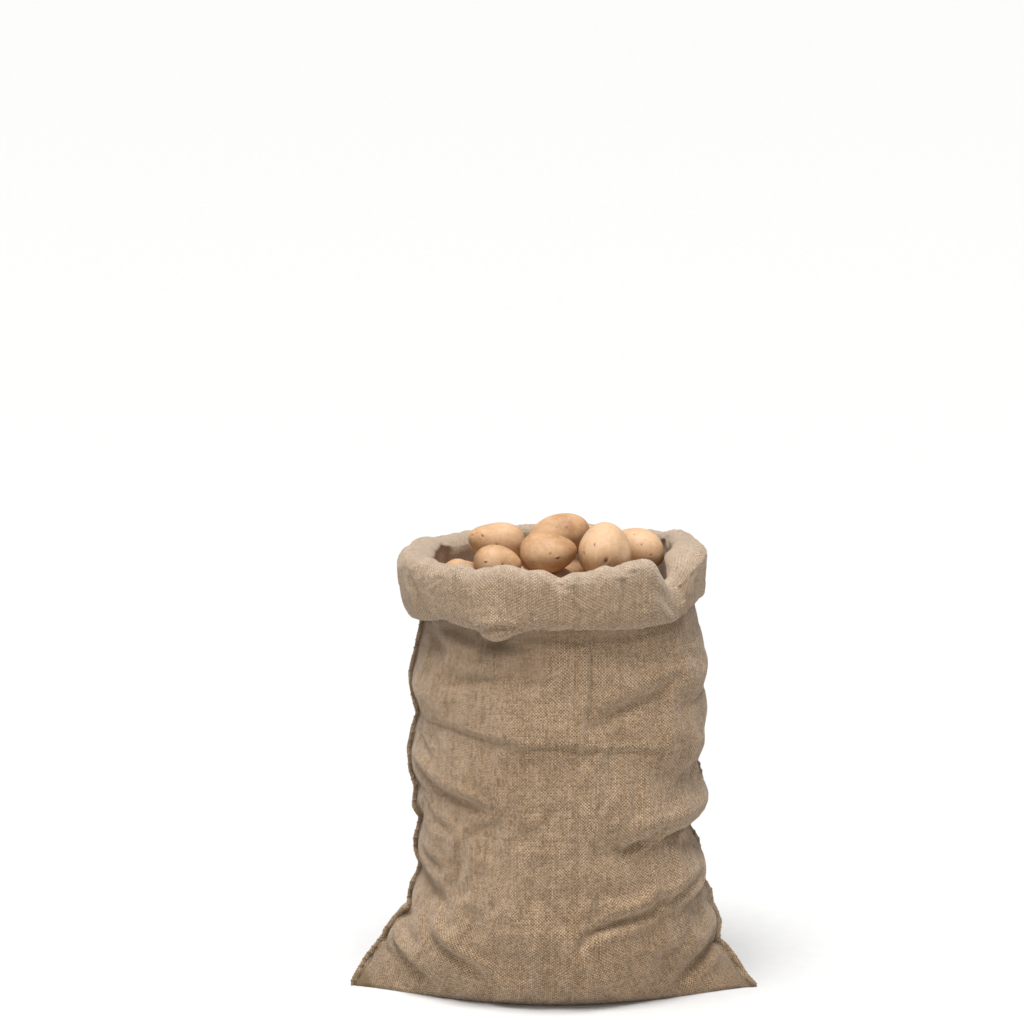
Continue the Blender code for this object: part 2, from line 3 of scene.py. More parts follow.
import bmesh
import bpy
import numpy as np
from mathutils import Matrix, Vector


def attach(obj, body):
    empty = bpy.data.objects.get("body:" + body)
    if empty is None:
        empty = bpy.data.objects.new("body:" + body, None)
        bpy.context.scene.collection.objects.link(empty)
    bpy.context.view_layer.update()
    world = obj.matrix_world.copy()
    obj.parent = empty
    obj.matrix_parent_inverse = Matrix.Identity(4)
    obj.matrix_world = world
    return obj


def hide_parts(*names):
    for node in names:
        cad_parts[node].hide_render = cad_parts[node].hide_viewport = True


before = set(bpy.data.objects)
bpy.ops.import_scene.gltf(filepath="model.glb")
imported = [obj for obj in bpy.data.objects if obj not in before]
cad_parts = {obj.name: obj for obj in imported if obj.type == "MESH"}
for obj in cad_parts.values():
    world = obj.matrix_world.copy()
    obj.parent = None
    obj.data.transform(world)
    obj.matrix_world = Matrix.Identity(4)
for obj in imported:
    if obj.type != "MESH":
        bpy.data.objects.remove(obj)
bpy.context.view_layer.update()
print("frame loaded,", len(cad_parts), "nodes")


def readTable(names, rows):
    return dict(zip(names.split(), np.array(rows, float).T))


def easeAlong(x, xs, ys):  # a smooth curve through the points (xs, ys)
    x = np.clip(x, xs[0], xs[-1])
    i = np.clip(np.searchsorted(xs, x) - 1, 0, len(xs) - 2)
    slopes = np.gradient(ys, xs)
    span = xs[i + 1] - xs[i]
    t = (x - xs[i]) / span
    here = (2 * t**3 - 3 * t**2 + 1) * ys[i] + (t**3 - 2 * t**2 + t) * span * slopes[i]
    there = (3 * t**2 - 2 * t**3) * ys[i + 1] + (t**3 - t**2) * span * slopes[i + 1]
    return here + there


def bell(x, width):
    return np.exp(-((x / width) ** 2))


def turnFrom(bearing, degrees):  # the short way round, in radians
    return np.angle(np.exp(1j * (bearing - math.radians(degrees))))


def nearTurn(bearing, at, spread):  # 1 there, less away from it
    return bell(turnFrom(bearing, at), math.radians(spread))


def unitRows(vectors):
    return vectors / np.maximum(np.linalg.norm(vectors, axis=-1, keepdims=True), 1e-12)


def interpRows(at, places, rows):
    return np.stack([np.interp(at, places, rows[:, k]) for k in range(3)], axis=1)


# A grid laid over rows of points, as cloth, cord or skin. The uv pairs are lengths along the cloth in metres.
def gridPiece(name, points, uv, marks):
    rows, across = points.shape[:2]
    bm = bmesh.new()
    bmesh.ops.create_grid(bm, x_segments=across - 1, y_segments=rows - 1, size=0.5)
    bm.verts.ensure_lookup_table()
    layer = bm.loops.layers.uv.new("cloth")
    for face in bm.faces:
        for loop in face.loops:
            loop[layer].uv = uv[divmod(loop.vert.index, across)]
    for markName, values in marks.items():
        mark = bm.verts.layers.float.new(markName)
        for vert in bm.verts:
            vert[mark] = values[divmod(vert.index, across)]
    for vert in bm.verts:
        vert.co = points[divmod(vert.index, across)]
    bmesh.ops.remove_doubles(bm, verts=bm.verts, dist=1e-6)
    bmesh.ops.recalc_face_normals(bm, faces=bm.faces)
    return meshObject(name, bm)


def meshObject(name, bm):
    mesh = bpy.data.meshes.new(name)
    bm.to_mesh(mesh)
    bm.free()
    mesh.shade_smooth()
    made = bpy.data.objects.new(name, mesh)
    bpy.context.scene.collection.objects.link(made)
    return made


def pointsOf(vertices):
    return np.array([v.co for v in vertices], float)


def applyModifiers(piece):
    bpy.context.view_layer.update()
    finished = bpy.data.meshes.new_from_object(piece.evaluated_get(bpy.context.evaluated_depsgraph_get()))
    piece.modifiers.clear()
    piece.data = finished
    return piece


# The sack's form, with the same sizes as its solids. Bearing 0 is the front, 90 the right side seam.
sackForm = {
    "cloth": 0.0030,
    "flatWidth": 0.65,
    "rimHeight": 0.690,
    "cuffEdge": 0.597,
    "wallShort": 0.012,  # the wall's folds end so far under the cuff's edge
    "cuffShares": (0.84, 0.055),  # the cuff's rows, as shares of its height
    "hemShares": (0.08, 0.72),
    "rimRound": 0.016,
    "foldGap": 0.0008,
    "sections": readTable(
        "height left right front back roundness seamY",
        (
            (0.000, 0.309, 0.308, 0.128, 0.132, 0.75, -0.034),
            (0.015, 0.302, 0.294, 0.145, 0.148, 0.82, -0.030),
            (0.040, 0.287, 0.279, 0.159, 0.161, 1.00, -0.022),
            (0.075, 0.271, 0.258, 0.169, 0.169, 1.40, -0.014),
            (0.105, 0.255, 0.249, 0.173, 0.173, 1.70, -0.008),
            (0.132, 0.224, 0.243, 0.174, 0.174, 1.90, -0.005),
            (0.160, 0.214, 0.237, 0.175, 0.175, 2.05, -0.003),
            (0.200, 0.209, 0.231, 0.174, 0.175, 2.15, 0.000),
            (0.270, 0.208, 0.225, 0.172, 0.173, 2.20, 0.000),
            (0.340, 0.216, 0.226, 0.170, 0.171, 2.20, 0.000),
            (0.410, 0.213, 0.232, 0.168, 0.170, 2.20, 0.000),
            (0.480, 0.215, 0.229, 0.166, 0.168, 2.20, 0.000),
            (0.540, 0.207, 0.226, 0.163, 0.165, 2.20, 0.000),
            (0.590, 0.195, 0.215, 0.160, 0.162, 2.20, 0.000),
            (0.640, 0.198, 0.206, 0.159, 0.161, 2.15, 0.000),
            (0.700, 0.204, 0.208, 0.158, 0.160, 2.10, 0.000),
        ),
    ),
    "cuff": {"left": 0.2390, "right": 0.2300, "front": 0.183, "back": 0.187, "roundness": 2.2},
    "cuffProfile": readTable(
        "share standOff",
        (
            (0, 0.42), (0.03, 0.57), (0.09, 0.74), (0.18, 0.87),
            (0.30, 0.95), (0.42, 0.98), (0.64, 1.00), (1, 0.88),
        ),
    ),
    # each crease from its deep end to where it fades out: bearing and height of both, then its depth, its
    # widths above and below, and how far it sags in the middle
    "creases": (
        (114, 0.276, 12, 0.25, 0.036, 0.016, 0.048, -0.006),
        (106, 0.18, 8, 0.134, 0.018, 0.017, 0.036, 0.004),
        (98, 0.083, 34, 0.052, 0.015, 0.015, 0.026, 0.004),
        (92, 0.365, 38, 0.372, 0.008, 0.02, 0.03, 0.003),
        (88, 0.478, 24, 0.466, 0.0055, 0.026, 0.034, 0.006),
        (-100, 0.214, -44, 0.152, 0.015, 0.016, 0.028, 0.002),
        (-99, 0.128, -34, 0.08, 0.019, 0.015, 0.022, 0.003),
        (-86, 0.072, -38, 0.034, 0.01, 0.013, 0.022, 0.002),
        (-91, 0.322, -34, 0.322, 0.009, 0.018, 0.032, -0.004),
        (-90, 0.448, -48, 0.44, 0.0075, 0.02, 0.026, 0.003),
        (-52, 0.434, 62, 0.384, 0.003, 0.018, 0.024, 0.002),
        (-64, 0.56, 6, 0.548, 0.006, 0.024, 0.034, 0.008),
        (24, 0.566, 74, 0.54, 0.005, 0.024, 0.034, 0.004),
        (-98, 0.262, -160, 0.236, 0.018, 0.017, 0.034, 0.004),
        (-108, 0.16, -172, 0.128, 0.014, 0.016, 0.032, 0.003),
        (-100, 0.086, -146, 0.05, 0.013, 0.014, 0.026, 0.002),
        (-158, 0.318, 156, 0.262, 0.011, 0.02, 0.034, 0.004),
        (106, 0.112, 156, 0.072, 0.014, 0.015, 0.028, 0.003),
        (98, 0.4, 170, 0.372, 0.009, 0.02, 0.034, 0.004),
        (-100, 0.43, 176, 0.452, 0.007, 0.02, 0.034, 0.005),
    ),
    "foldsFrom": 0.030,  # the folds fade out at the floor and under the cuff
    "foldsTo": 0.617,
    "foldsFade": 0.050,
    # gentle swells: waves round, waves up, size, phase
    "swells": ((3, 3.1, 0.0016, 0.4), (5, -4.3, 0.0014, 2.1), (7, 6.2, 0.0011, 4.0), (2, 9.1, 0.0010, 1.3)),
    # waves of the rim and of the cuff's lower edge: bearing, rise, push, spread
    "rimWaves": (
        (3, -0.006, 0.0, 9), (34, 0.013, 0.002, 14), (56, -0.026, -0.01, 8), (84, 0.012, 0.002, 14),
        (116, 0.014, 0.0, 20), (152, -0.003, 0.0, 14), (-172, 0.003, 0.0, 16), (-130, -0.002, 0.0, 18),
        (-74, 0.006, 0.003, 12), (-34, 0.002, 0.002, 9),
        # from here on finer than in the solids
        (50, -0.011, -0.004, 5), (-8, 0.006, 0.001, 18), (-41, 0.005, 0.002, 5), (-34, -0.003, -0.001, 3),
        (-20, 0.006, 0.002, 7), (-11, -0.002, -0.001, 4), (-4.5, 0.002, 0.001, 3),
        (1.6, -0.004, -0.002, 5), (7, 0.003, 0.002, 3.5), (21, 0.003, 0.002, 5), (26, -0.0025, -0.001, 3),
        (38, 0.002, 0.001, 5), (-62, 0.003, 0.002, 6), (128, -0.004, -0.003, 6), (166, 0.004, 0.002, 6),
        (-152, -0.005, -0.003, 6), (-112, 0.004, 0.001, 6),
    ),
    "cuffEdgeWaves": (
        (-90, -0.014, 0.0, 20), (-52, 0.002, 0.002, 10), (-24, -0.007, 0.006, 10),
        (-25, -0.009, 0.003, 6.5), (-8, 0.003, -0.002, 6), (-52, 0.004, -0.002, 8), (8, 0.004, 0.0, 14),
        (78, 0.02, 0.0, 20), (140, -0.006, 0.002, 18), (-150, 0.005, 0.0, 16),
    ),
    # where the wall leans in and where the rim rolls in further: bearing, far, spread
    "leans": ((88, 0.028, 26), (52, 0.008, 8), (-96, 0.004, 16)),
    "leanFrom": 0.600,
    "leanEase": 1.5,
    "rimRolls": ((72, 0.016, 9), (-112, 0.009, 34), (20, 0.004, 16), (150, 0.005, 14)),
    "rollBehind": 0.008,  # the wall follows a roll so far at most
    "archTurn": (168, 12),  # the rim's round top, from inside to outside
}
# the section that every crease has: shares of its depth, and places and widths in widths above the line
creaseSection = {
    "pastStart": (0.030, 1.7),
    "fade": 0.9,
    "belowPower": 1.5,
    "valley": 0.86,
    "sharp": (0.26, 0.36),
    "roll": (0.40, 1.9, 1.3),
    "hang": (0.50, 0.7, 1.2),
}
columnRadius = sackForm["flatWidth"] / math.pi


def sectionAt(height):
    table = sackForm["sections"]
    return {name: easeAlong(height, table["height"], table[name]) for name in table if name != "height"}


def readWaves(table, bearing):
    shares = [nearTurn(bearing, w[0], w[3]) for w in table]
    return sum(w[1] * s for w, s in zip(table, shares)), sum(w[2] * s for w, s in zip(table, shares))


# How far a crease pushes the wall out, and how far the cloth above it hangs down
def creaseAt(crease, bearing, height):
    bearingA, heightA, bearingB, heightB, depth, above, below, sag = crease
    run = Vector((turnFrom(math.radians(bearingB), bearingA) * columnRadius, heightB - heightA))
    unit = run.normalized()
    across = turnFrom(bearing, bearingA) * columnRadius
    up = height - heightA
    share = (across * unit.x + up * unit.y) / run.length
    over = (up * unit.x - across * unit.y) * math.copysign(1, unit.x) + sag * 4 * share * (1 - share)
    c = creaseSection
    startReach, startShare = c["pastStart"]
    pastStart = bell(share * run.length, startReach + startShare * depth)
    size = depth * np.where(share < 0, pastStart, np.clip(1 - share, 0, 1) ** c["fade"])
    valley = np.where(over > 0, bell(over, above), np.exp(-(np.abs(over / below) ** c["belowPower"])))
    sharpDeep, sharpWide = c["sharp"]
    # it breaks sharply along the line
    valley = c["valley"] * valley + sharpDeep * bell(over, sharpWide * above)
    (rollHigh, rollAt, rollWide), (hangLong, hangAt, hangWide) = c["roll"], c["hang"]
    roll = bell(over - rollAt * above, rollWide * above)
    hang = bell(over - hangAt * above, hangWide * above)
    return size * (rollHigh * roll - valley), size * hangLong * hang


def foldsAt(bearing, height):
    out, down = np.zeros_like(bearing), np.zeros_like(bearing)
    for crease in sackForm["creases"]:
        oneOut, oneDown = creaseAt(crease, bearing, height)
        out += oneOut
        down += oneDown
    for wavesRound, wavesUp, size, phase in sackForm["swells"]:
        out += size * np.sin(wavesRound * bearing + math.tau * wavesUp * height + phase)
    free = np.clip(height / sackForm["foldsFrom"], 0, 1)
    free = free * np.clip((sackForm["foldsTo"] - height) / sackForm["foldsFade"], 0, 1)
    return out * free, down * free


def leanAt(bearing, height):
    rise = (height - sackForm["leanFrom"]) / (sackForm["rimHeight"] - sackForm["leanFrom"])
    rise = np.clip(rise, 0, 1) ** sackForm["leanEase"]
    return sum(far * rise * nearTurn(bearing, at, spread) for at, far, spread in sackForm["leans"])


def outwardAt(bearing, s):
    side, ahead = np.sin(bearing), np.cos(bearing)
    reach = np.where(side < 0, s["left"], s["right"])
    depth = np.where(ahead > 0, s["front"] + s["seamY"], s["back"] - s["seamY"])
    slope = np.hypot(depth * side, reach * ahead)
    return depth * side / slope, -reach * ahead / slope


def wallAt(bearing, height, inset=0.0, folded=True, leaning=True):
    bearing, height = np.broadcast_arrays(np.asarray(bearing, float), np.asarray(height, float))
    s = sectionAt(height)
    side, ahead = np.sin(bearing), np.cos(bearing)
    reach = np.where(side < 0, s["left"], s["right"]) - inset
    depth = np.where(ahead > 0, s["front"] + s["seamY"], s["back"] - s["seamY"]) - inset
    x = reach * side
    y = s["seamY"] - np.sign(ahead) * depth * np.abs(ahead) ** (2 / s["roundness"])
    out, down = foldsAt(bearing, height) if folded else (0 * x, 0 * x)
    if leaning:
        out = out - leanAt(bearing, height)
    outX, outY = outwardAt(bearing, s)
    return np.stack([x + out * outX, y + out * outY, height - down], axis=-1)


# The threads turn with the right seam, which slips round towards the back higher up
def threadBearing(bearing, height):
    path = seamForm["paths"]["right"]
    slip = np.radians(np.interp(height, path["height"], path["bearing"]) - 90)
    share = np.clip(turnFrom(bearing, 90) / math.radians(seamForm["slipReach"]), -0.5, 0.5)
    return bearing + slip * np.cos(share * math.pi) ** 2


# The cloth's middle surface, row by row: base, wall, rim, cuff, lower fold and the hem inside the cuff
def clothRows(threads, counts):
    half = sackForm["cloth"] / 2
    bearing = threadBearing(threads, sackForm["cuffEdge"])
    rimRise, rimPush = readWaves(sackForm["rimWaves"], bearing)
    edgeRise, edgePush = readWaves(sackForm["cuffEdgeWaves"], bearing)
    top, edge = sackForm["rimHeight"] + rimRise, sackForm["cuffEdge"] + edgeRise
    c, side, ahead = sackForm["cuff"], np.sin(bearing), np.cos(bearing)
    reach = np.where(side < 0, c["left"], c["right"])
    depth = np.where(ahead > 0, c["front"], c["back"])
    widestY = -np.sign(ahead) * depth * np.abs(ahead) ** (2 / c["roundness"])
    widest = np.stack([reach * side, widestY], axis=-1)
    straight = widest - wallAt(bearing, (top + edge) / 2, folded=False, leaning=False)[:, :2]
    standOff = np.hypot(straight[:, 0], straight[:, 1])
    straight = straight / standOff[:, None]

    def profile(share):
        return easeAlong(np.array([share]), *sackForm["cuffProfile"].values())[0]

    def at(height, out):
        start = wallAt(bearing, height, folded=False, leaning=False)
        start[:, :2] += straight * out[:, None]
        return start

    def cuff(share, inside):
        push = edgePush * (1 - share) + rimPush * share**2
        return at(edge + share * (top - edge), (standOff + push) * profile(share) - inside)

    rimRound, gap = sackForm["rimRound"], sackForm["foldGap"]
    foot = wallAt(threads, 0.0, half)
    foot[:, 2] = half
    middleLine = sectionAt(np.array([0.0]))["seamY"][0]
    rows = []
    for share in np.linspace(0, 1, counts["base"], endpoint=False):
        row = foot.copy()
        row[:, 1] = middleLine + share * (foot[:, 1] - middleLine)
        rows.append(row)
    start = sackForm["cuffEdge"] - sackForm["wallShort"]
    levels = np.linspace(half, start, counts["wall"])
    rows += [wallAt(threadBearing(threads, h), h, half) for h in levels]
    wallEnd = len(rows)
    rolls = sum(far * nearTurn(bearing, at, spread) for at, far, spread in sackForm["rimRolls"])
    for share in np.linspace(0, 1, counts["behind"] + 1)[1:]:
        row = wallAt(bearing, start + share * (top - rimRound - start), half, folded=False)
        row[:, :2] -= straight * (np.minimum(rolls, sackForm["rollBehind"]) * share**2)[:, None]
        rows.append(row)
    far = (standOff + rimPush) * profile(1.0)
    near = -sackForm["cloth"] - leanAt(bearing, top - rimRound) - rolls
    for a in np.radians(np.linspace(*sackForm["archTurn"], counts["arch"])):
        out = (far + near) / 2 + ((far - near) / 2 - half) * math.cos(a) + rimPush / 2 * math.sin(a)
        rows.append(at(top - rimRound + (rimRound - half) * math.sin(a), out))
    rows += [cuff(share, half) for share in np.linspace(*sackForm["cuffShares"], counts["cuff"])]
    foldMiddle = sackForm["cloth"] + gap / 2
    for a in np.radians(np.linspace(0, -180, counts["fold"])):
        out = (standOff + edgePush) * profile(0.0) - foldMiddle + (foldMiddle - half) * math.cos(a)
        rows.append(at(edge + foldMiddle + (foldMiddle - half) * math.sin(a), out))
    inside = 1.5 * sackForm["cloth"] + gap
    rows += [cuff(share, inside) for share in np.linspace(*sackForm["hemShares"], counts["hem"])]
    return np.array(rows), wallEnd


sackCloth = {
    "around": 300,
    "rows": {"base": 6, "wall": 100, "behind": 7, "arch": 14, "cuff": 23, "fold": 7, "hem": 6},
    "thick": 0.0024,  # without the weave's relief
    "levelHeight": 0.45,  # the cloth's length is measured up and down from here, so that the weave lies level
    "levelSmooth": 8,
    "dents": {
        "count": 60,
        "seed": 4,
        "heights": (0.06, 0.68),
        "wide": (0.022, 0.050),
        "deep": 0.0024,
        "onCuff": 0.5,
    },
    "foot": (0.004, 0.04),  # dents and small creases begin above the floor
    "waist": (0.35, 0.1),  # here the wall stands upright
    # small creases: bearing and height of both ends, depth, width
    "wallCreases": (
        (54, 0.284, 24, 0.246, 0.0058, 0.0065), (44, 0.194, 14, 0.183, 0.0042, 0.013),
        (80, 0.194, 42, 0.158, 0.007, 0.0085), (52, 0.17, 6, 0.119, 0.0072, 0.0085),
        (84, 0.09, 36, 0.02, 0.007, 0.008), (-92, 0.366, -24, 0.31, 0.0062, 0.01),
        (-66, 0.136, -20, 0.05, 0.007, 0.008), (-88, 0.098, -33, 0.018, 0.007, 0.007),
        (-58, 0.512, 2, 0.526, 0.0052, 0.017), (6, 0.446, 56, 0.506, 0.0058, 0.014),
        (-68, 0.44, -12, 0.423, 0.001, 0.0045), (-18, 0.425, 28, 0.408, 0.0008, 0.004),
        (20, 0.411, 72, 0.384, 0.0012, 0.0045), (-26, 0.118, 26, 0.116, 0.0014, 0.004),
        (14, 0.594, 13, 0.38, 0.0014, 0.0045), (-72, 0.3, -46, 0.268, 0.003, 0.008),
        (-80, 0.404, -56, 0.38, 0.0026, 0.008), (-84, 0.236, -52, 0.204, 0.0036, 0.008),
        (-78, 0.196, -50, 0.166, 0.0036, 0.008), (52, 0.346, 82, 0.366, 0.0028, 0.01),
        (60, 0.552, 84, 0.52, 0.0026, 0.009), (58, 0.236, 82, 0.252, 0.0034, 0.008),
        (34, 0.066, 60, 0.102, 0.003, 0.009), (-36, 0.56, -22, 0.59, 0.005, 0.01),
        (-66, 0.588, -14, 0.573, 0.006, 0.0075), (-16, 0.584, 44, 0.584, 0.003, 0.006),
        (-76, 0.02, -66, 0.002, 0.0022, 0.003), (100, 0.3, 150, 0.33, 0.006, 0.01),
        (112, 0.214, 166, 0.16, 0.006, 0.01), (-96, 0.38, -150, 0.34, 0.006, 0.011),
        (-104, 0.2, -156, 0.214, 0.0055, 0.009), (160, 0.5, -140, 0.48, 0.004, 0.013),
        (120, 0.54, 170, 0.56, 0.004, 0.011), (-160, 0.56, -166, 0.3, 0.0018, 0.0045),
        (100, 0.386, -178, 0.402, 0.002, 0.0045),
    ),
    # the same on the rim and cuff, but with the run from the rim's top in place of the height, and these
    # stand out
    "cuffCreases": (
        (51, -0.006, 47, 0.038, -0.0022, 0.0085), (-90, -0.008, -93, 0.026, 0.003, 0.006),
        (-88, 0.008, -74, 0.03, 0.003, 0.006), (-80, -0.006, -58, 0.018, 0.0024, 0.007),
        (107, -0.036, 87, 0.014, 0.0056, 0.005), (-6, 0.094, -35, 0.1, 0.006, 0.0046),
        (2, -0.012, 6, 0.05, 0.0012, 0.01), (24, -0.012, 20, 0.024, 0.002, 0.007),
        (-46, -0.012, -44, 0.02, 0.0022, 0.0075), (-34, -0.01, -30, 0.044, 0.002, 0.008),
        (6, 0.01, 10, 0.09, 0.0018, 0.01), (-66, 0.03, -58, 0.09, 0.0022, 0.012),
        (36, 0.04, 66, 0.074, 0.002, 0.01), (140, -0.012, 146, 0.06, 0.0034, 0.007),
        (-140, -0.012, -134, 0.05, 0.0032, 0.007), (176, -0.012, 172, 0.04, 0.0024, 0.007),
        (100, 0.06, 150, 0.07, 0.0024, 0.008), (-110, 0.07, -160, 0.06, 0.0024, 0.008),
    ),
}


def smoothAround(values, reach):
    weights = bell(np.arange(-reach, reach + 1), reach / 2)
    weights /= weights.sum()
    return sum(w * np.roll(values, k - reach, axis=1) for k, w in enumerate(weights))


def surfaceNormals(points):  # of a grid that is closed round, without its doubled last column
    around = np.roll(points, -1, axis=1) - np.roll(points, 1, axis=1)
    return unitRows(np.cross(around, np.gradient(points, axis=0)))


seamColumns = {"left": sackCloth["around"] // 4, "right": 3 * sackCloth["around"] // 4}
# the section of a small crease, in widths: how its line wanders, how soon its ends fade, the lip beside it
smallCrease = {"wander": 0.18, "wanders": 9, "ends": 4, "lipHigh": 0.6, "lipOff": 1.8}


def smallCreases(table, bearing, level):
    c = smallCrease
    total = np.zeros(level.shape)
    for bearingA, levelA, bearingB, levelB, deep, wide in table:
        run = Vector((turnFrom(math.radians(bearingB), bearingA) * columnRadius, levelB - levelA))
        unit = run.normalized()
        across = turnFrom(bearing, bearingA) * columnRadius
        share = (across * unit.x + (level - levelA) * unit.y) / run.length
        wander = c["wander"] * wide * np.sin(share * c["wanders"] + bearingA)
        aside = (level - levelA) * unit.x - across * unit.y + wander
        fade = np.clip(np.minimum(share, 1 - share) * c["ends"], 0, 1)
        section = bell(aside, wide) - c["lipHigh"] * bell(aside - c["lipOff"] * wide, wide)
        total += deep * fade * fade * (3 - 2 * fade) * section
    return total


# The cloth is cut a little too large for its form and creeps into wrinkles, held by its seams, base and hem
sackDrape = {
    "frames": 16,
    "quality": 5,
    "airDamping": 2,
    "loose": 0.026,
    "hold": {"wall": 0.13, "rim": 0.30, "cuff": 0.25},
    "calm": (49, 9, 0.8),  # at the notch: bearing, spread, hold
    "holdStiffness": 3.0,
    "cap": 0.0045,  # no point moves further
    "mass": 0.15,
    "stiff": 12,
    "shear": 4,
    "bending": 0.6,
}


def drapeSack(points, hold):
    d = sackDrape
    thin = points[:, ::2]  # every second column is enough, and those between follow
    order = np.arange(thin.shape[0] * thin.shape[1], dtype=float).reshape(thin.shape[:2])
    around = np.append(np.arange(thin.shape[1]), 0)
    marks = {"order": order[:, around], "hold": hold[:, ::2][:, around]}
    trial = gridPiece("drape_trial", thin[:, around], np.zeros((*marks["order"].shape, 2)), marks)
    count = len(trial.data.vertices)
    read = {name: np.zeros(count, np.float32) for name in marks}
    for name in marks:
        trial.data.attributes[name].data.foreach_get("value", read[name])
    group = trial.vertex_groups.new(name="held")
    for i, weight in enumerate(read["hold"]):
        group.add([i], float(weight), "REPLACE")
    cloth = trial.modifiers.new("drape", "CLOTH")
    c = cloth.settings
    c.quality, c.mass, c.air_damping = d["quality"], d["mass"], d["airDamping"]
    c.tension_stiffness = c.compression_stiffness = d["stiff"]
    c.shear_stiffness, c.bending_stiffness = d["shear"], d["bending"]
    c.vertex_group_mass, c.pin_stiffness = "held", d["holdStiffness"]
    c.shrink_min = -d["loose"]
    c.effector_weights.gravity = 0
    cloth.collision_settings.use_collision = False
    start = pointsOf(trial.data.vertices)
    for number in range(1, d["frames"] + 1):
        bpy.context.scene.frame_set(number)
    draped = trial.evaluated_get(bpy.context.evaluated_depsgraph_get()).to_mesh()
    move = pointsOf(draped.vertices) - start
    bpy.context.scene.frame_set(1)
    bpy.data.objects.remove(trial)
    far = np.linalg.norm(move, axis=1)
    print("sack draped, median move", round(float(np.median(far)), 5), "largest", round(float(far.max()), 4))
    move *= np.minimum(1, d["cap"] / np.maximum(far, 1e-9))[:, None]
    thinMove = np.zeros((thin.shape[0] * thin.shape[1], 3))
    thinMove[read["order"].round().astype(int)] = move
    thinMove = thinMove.reshape(thin.shape)
    full = np.zeros_like(points)
    full[:, ::2], full[:, 1::2] = thinMove, (thinMove + np.roll(thinMove, -1, axis=1)) / 2
    return points + full


def lengthsUp(points):
    steps = np.linalg.norm(np.diff(points, axis=0), axis=2)
    return np.concatenate([np.zeros((1, points.shape[1])), np.cumsum(steps, axis=0)])


# At the side seams the cloth runs into its welt as a narrow flange
def pullToSeams(points, seams, rows):
    f = seamForm["flange"]
    for side, column in seamColumns.items():
        centre, out = seams[side][0][::-1], seams[side][1][::-1]
        at = points[rows, column]
        welt, weltOut = (interpRows(at[:, 2], centre[:, 2], line) for line in (centre, out))
        under = np.clip((centre[-1, 2] + f["above"] - at[:, 2]) / f["fade"], 0, 1)[:, None]
        pull = (welt - weltOut * seamForm["wide"] * f["deep"] - at) * under
        pull[:, 2] = 0
        for step, share in zip((-2, -1, 0, 1, 2), f["shares"]):
            points[rows, column + step] += pull * share


# Marks from 0 up that the hessian's material reads
sackMarks = {
    "rimTopLight": {"at": 0.004, "spread": 0.020},  # painted light: the rim's top is lighter, as light falls on its fuzz
    "mouthLight": {"to": 0.02, "from": 0.11, "fade": 0.04},  # painted light: the inner face is lighter inside the mouth
    # painted shade beside the welts along the side seams
    "seamShade": 0.007,
    # the wall is darker towards the corners' tips
    "darkerCorners": {"from": 0.235, "fade": 0.03, "most": 0.4},
    # painted shadow on the wall under the cuff's edge, darkest towards the left front
    "cuffShadow": {"below": 0.015, "spread": 0.013, "least": 0.4, "more": 0.9, "at": -44, "wide": 0.45},
    "flap": {"from": 0.279, "slant": 0.5, "fade": 0.003},  # the left corner's turned tip
}


def marksOf(points, bearing, placed, height, fromRim, onWall, belowEdge, onCuff):
    m = sackMarks
    offSeam = np.minimum(np.abs(turnFrom(bearing, -90)), np.abs(turnFrom(bearing, 90)))
    offSeam = offSeam[None, :] * columnRadius
    corner, cuffShadow, mouthLight, flap = m["darkerCorners"], m["cuffShadow"], m["mouthLight"], m["flap"]
    corners = corner["most"] * np.clip((np.abs(points[..., 0]) - corner["from"]) / corner["fade"], 0, 1)
    cuffEnds = sackForm["cuffEdge"] + readWaves(sackForm["cuffEdgeWaves"], placed[-1])[0]
    # painted shadow under the cuff's edge, darkest towards the left front
    shaded = cuffShadow["more"] * bell(turnFrom(placed[-1], cuffShadow["at"]), cuffShadow["wide"])
    shaded = cuffShadow["least"] + shaded
    underCuff = bell(height - cuffEnds + cuffShadow["below"], cuffShadow["spread"]) * shaded * belowEdge
    tip = np.clip((-points[..., 0] - flap["from"] - flap["slant"] * height) / flap["fade"], 0, 1)
    # painted light on the inner face inside the mouth
    inMouth = np.clip((fromRim + mouthLight["from"]) / mouthLight["fade"], 0, 1)
    return {
        # painted light on the rim's top
        "rimTopLight": bell(fromRim - m["rimTopLight"]["at"], m["rimTopLight"]["spread"]) * onCuff,
        "mouthLight": np.clip(-fromRim / mouthLight["to"], 0, 1) * inMouth,
        # painted shade beside the seams and under the cuff, with the corners darker
        "shadeAndDarkening": np.maximum(np.maximum(bell(offSeam, m["seamShade"]), corners) * onWall, underCuff),
        "flap": tip * onWall,
    }


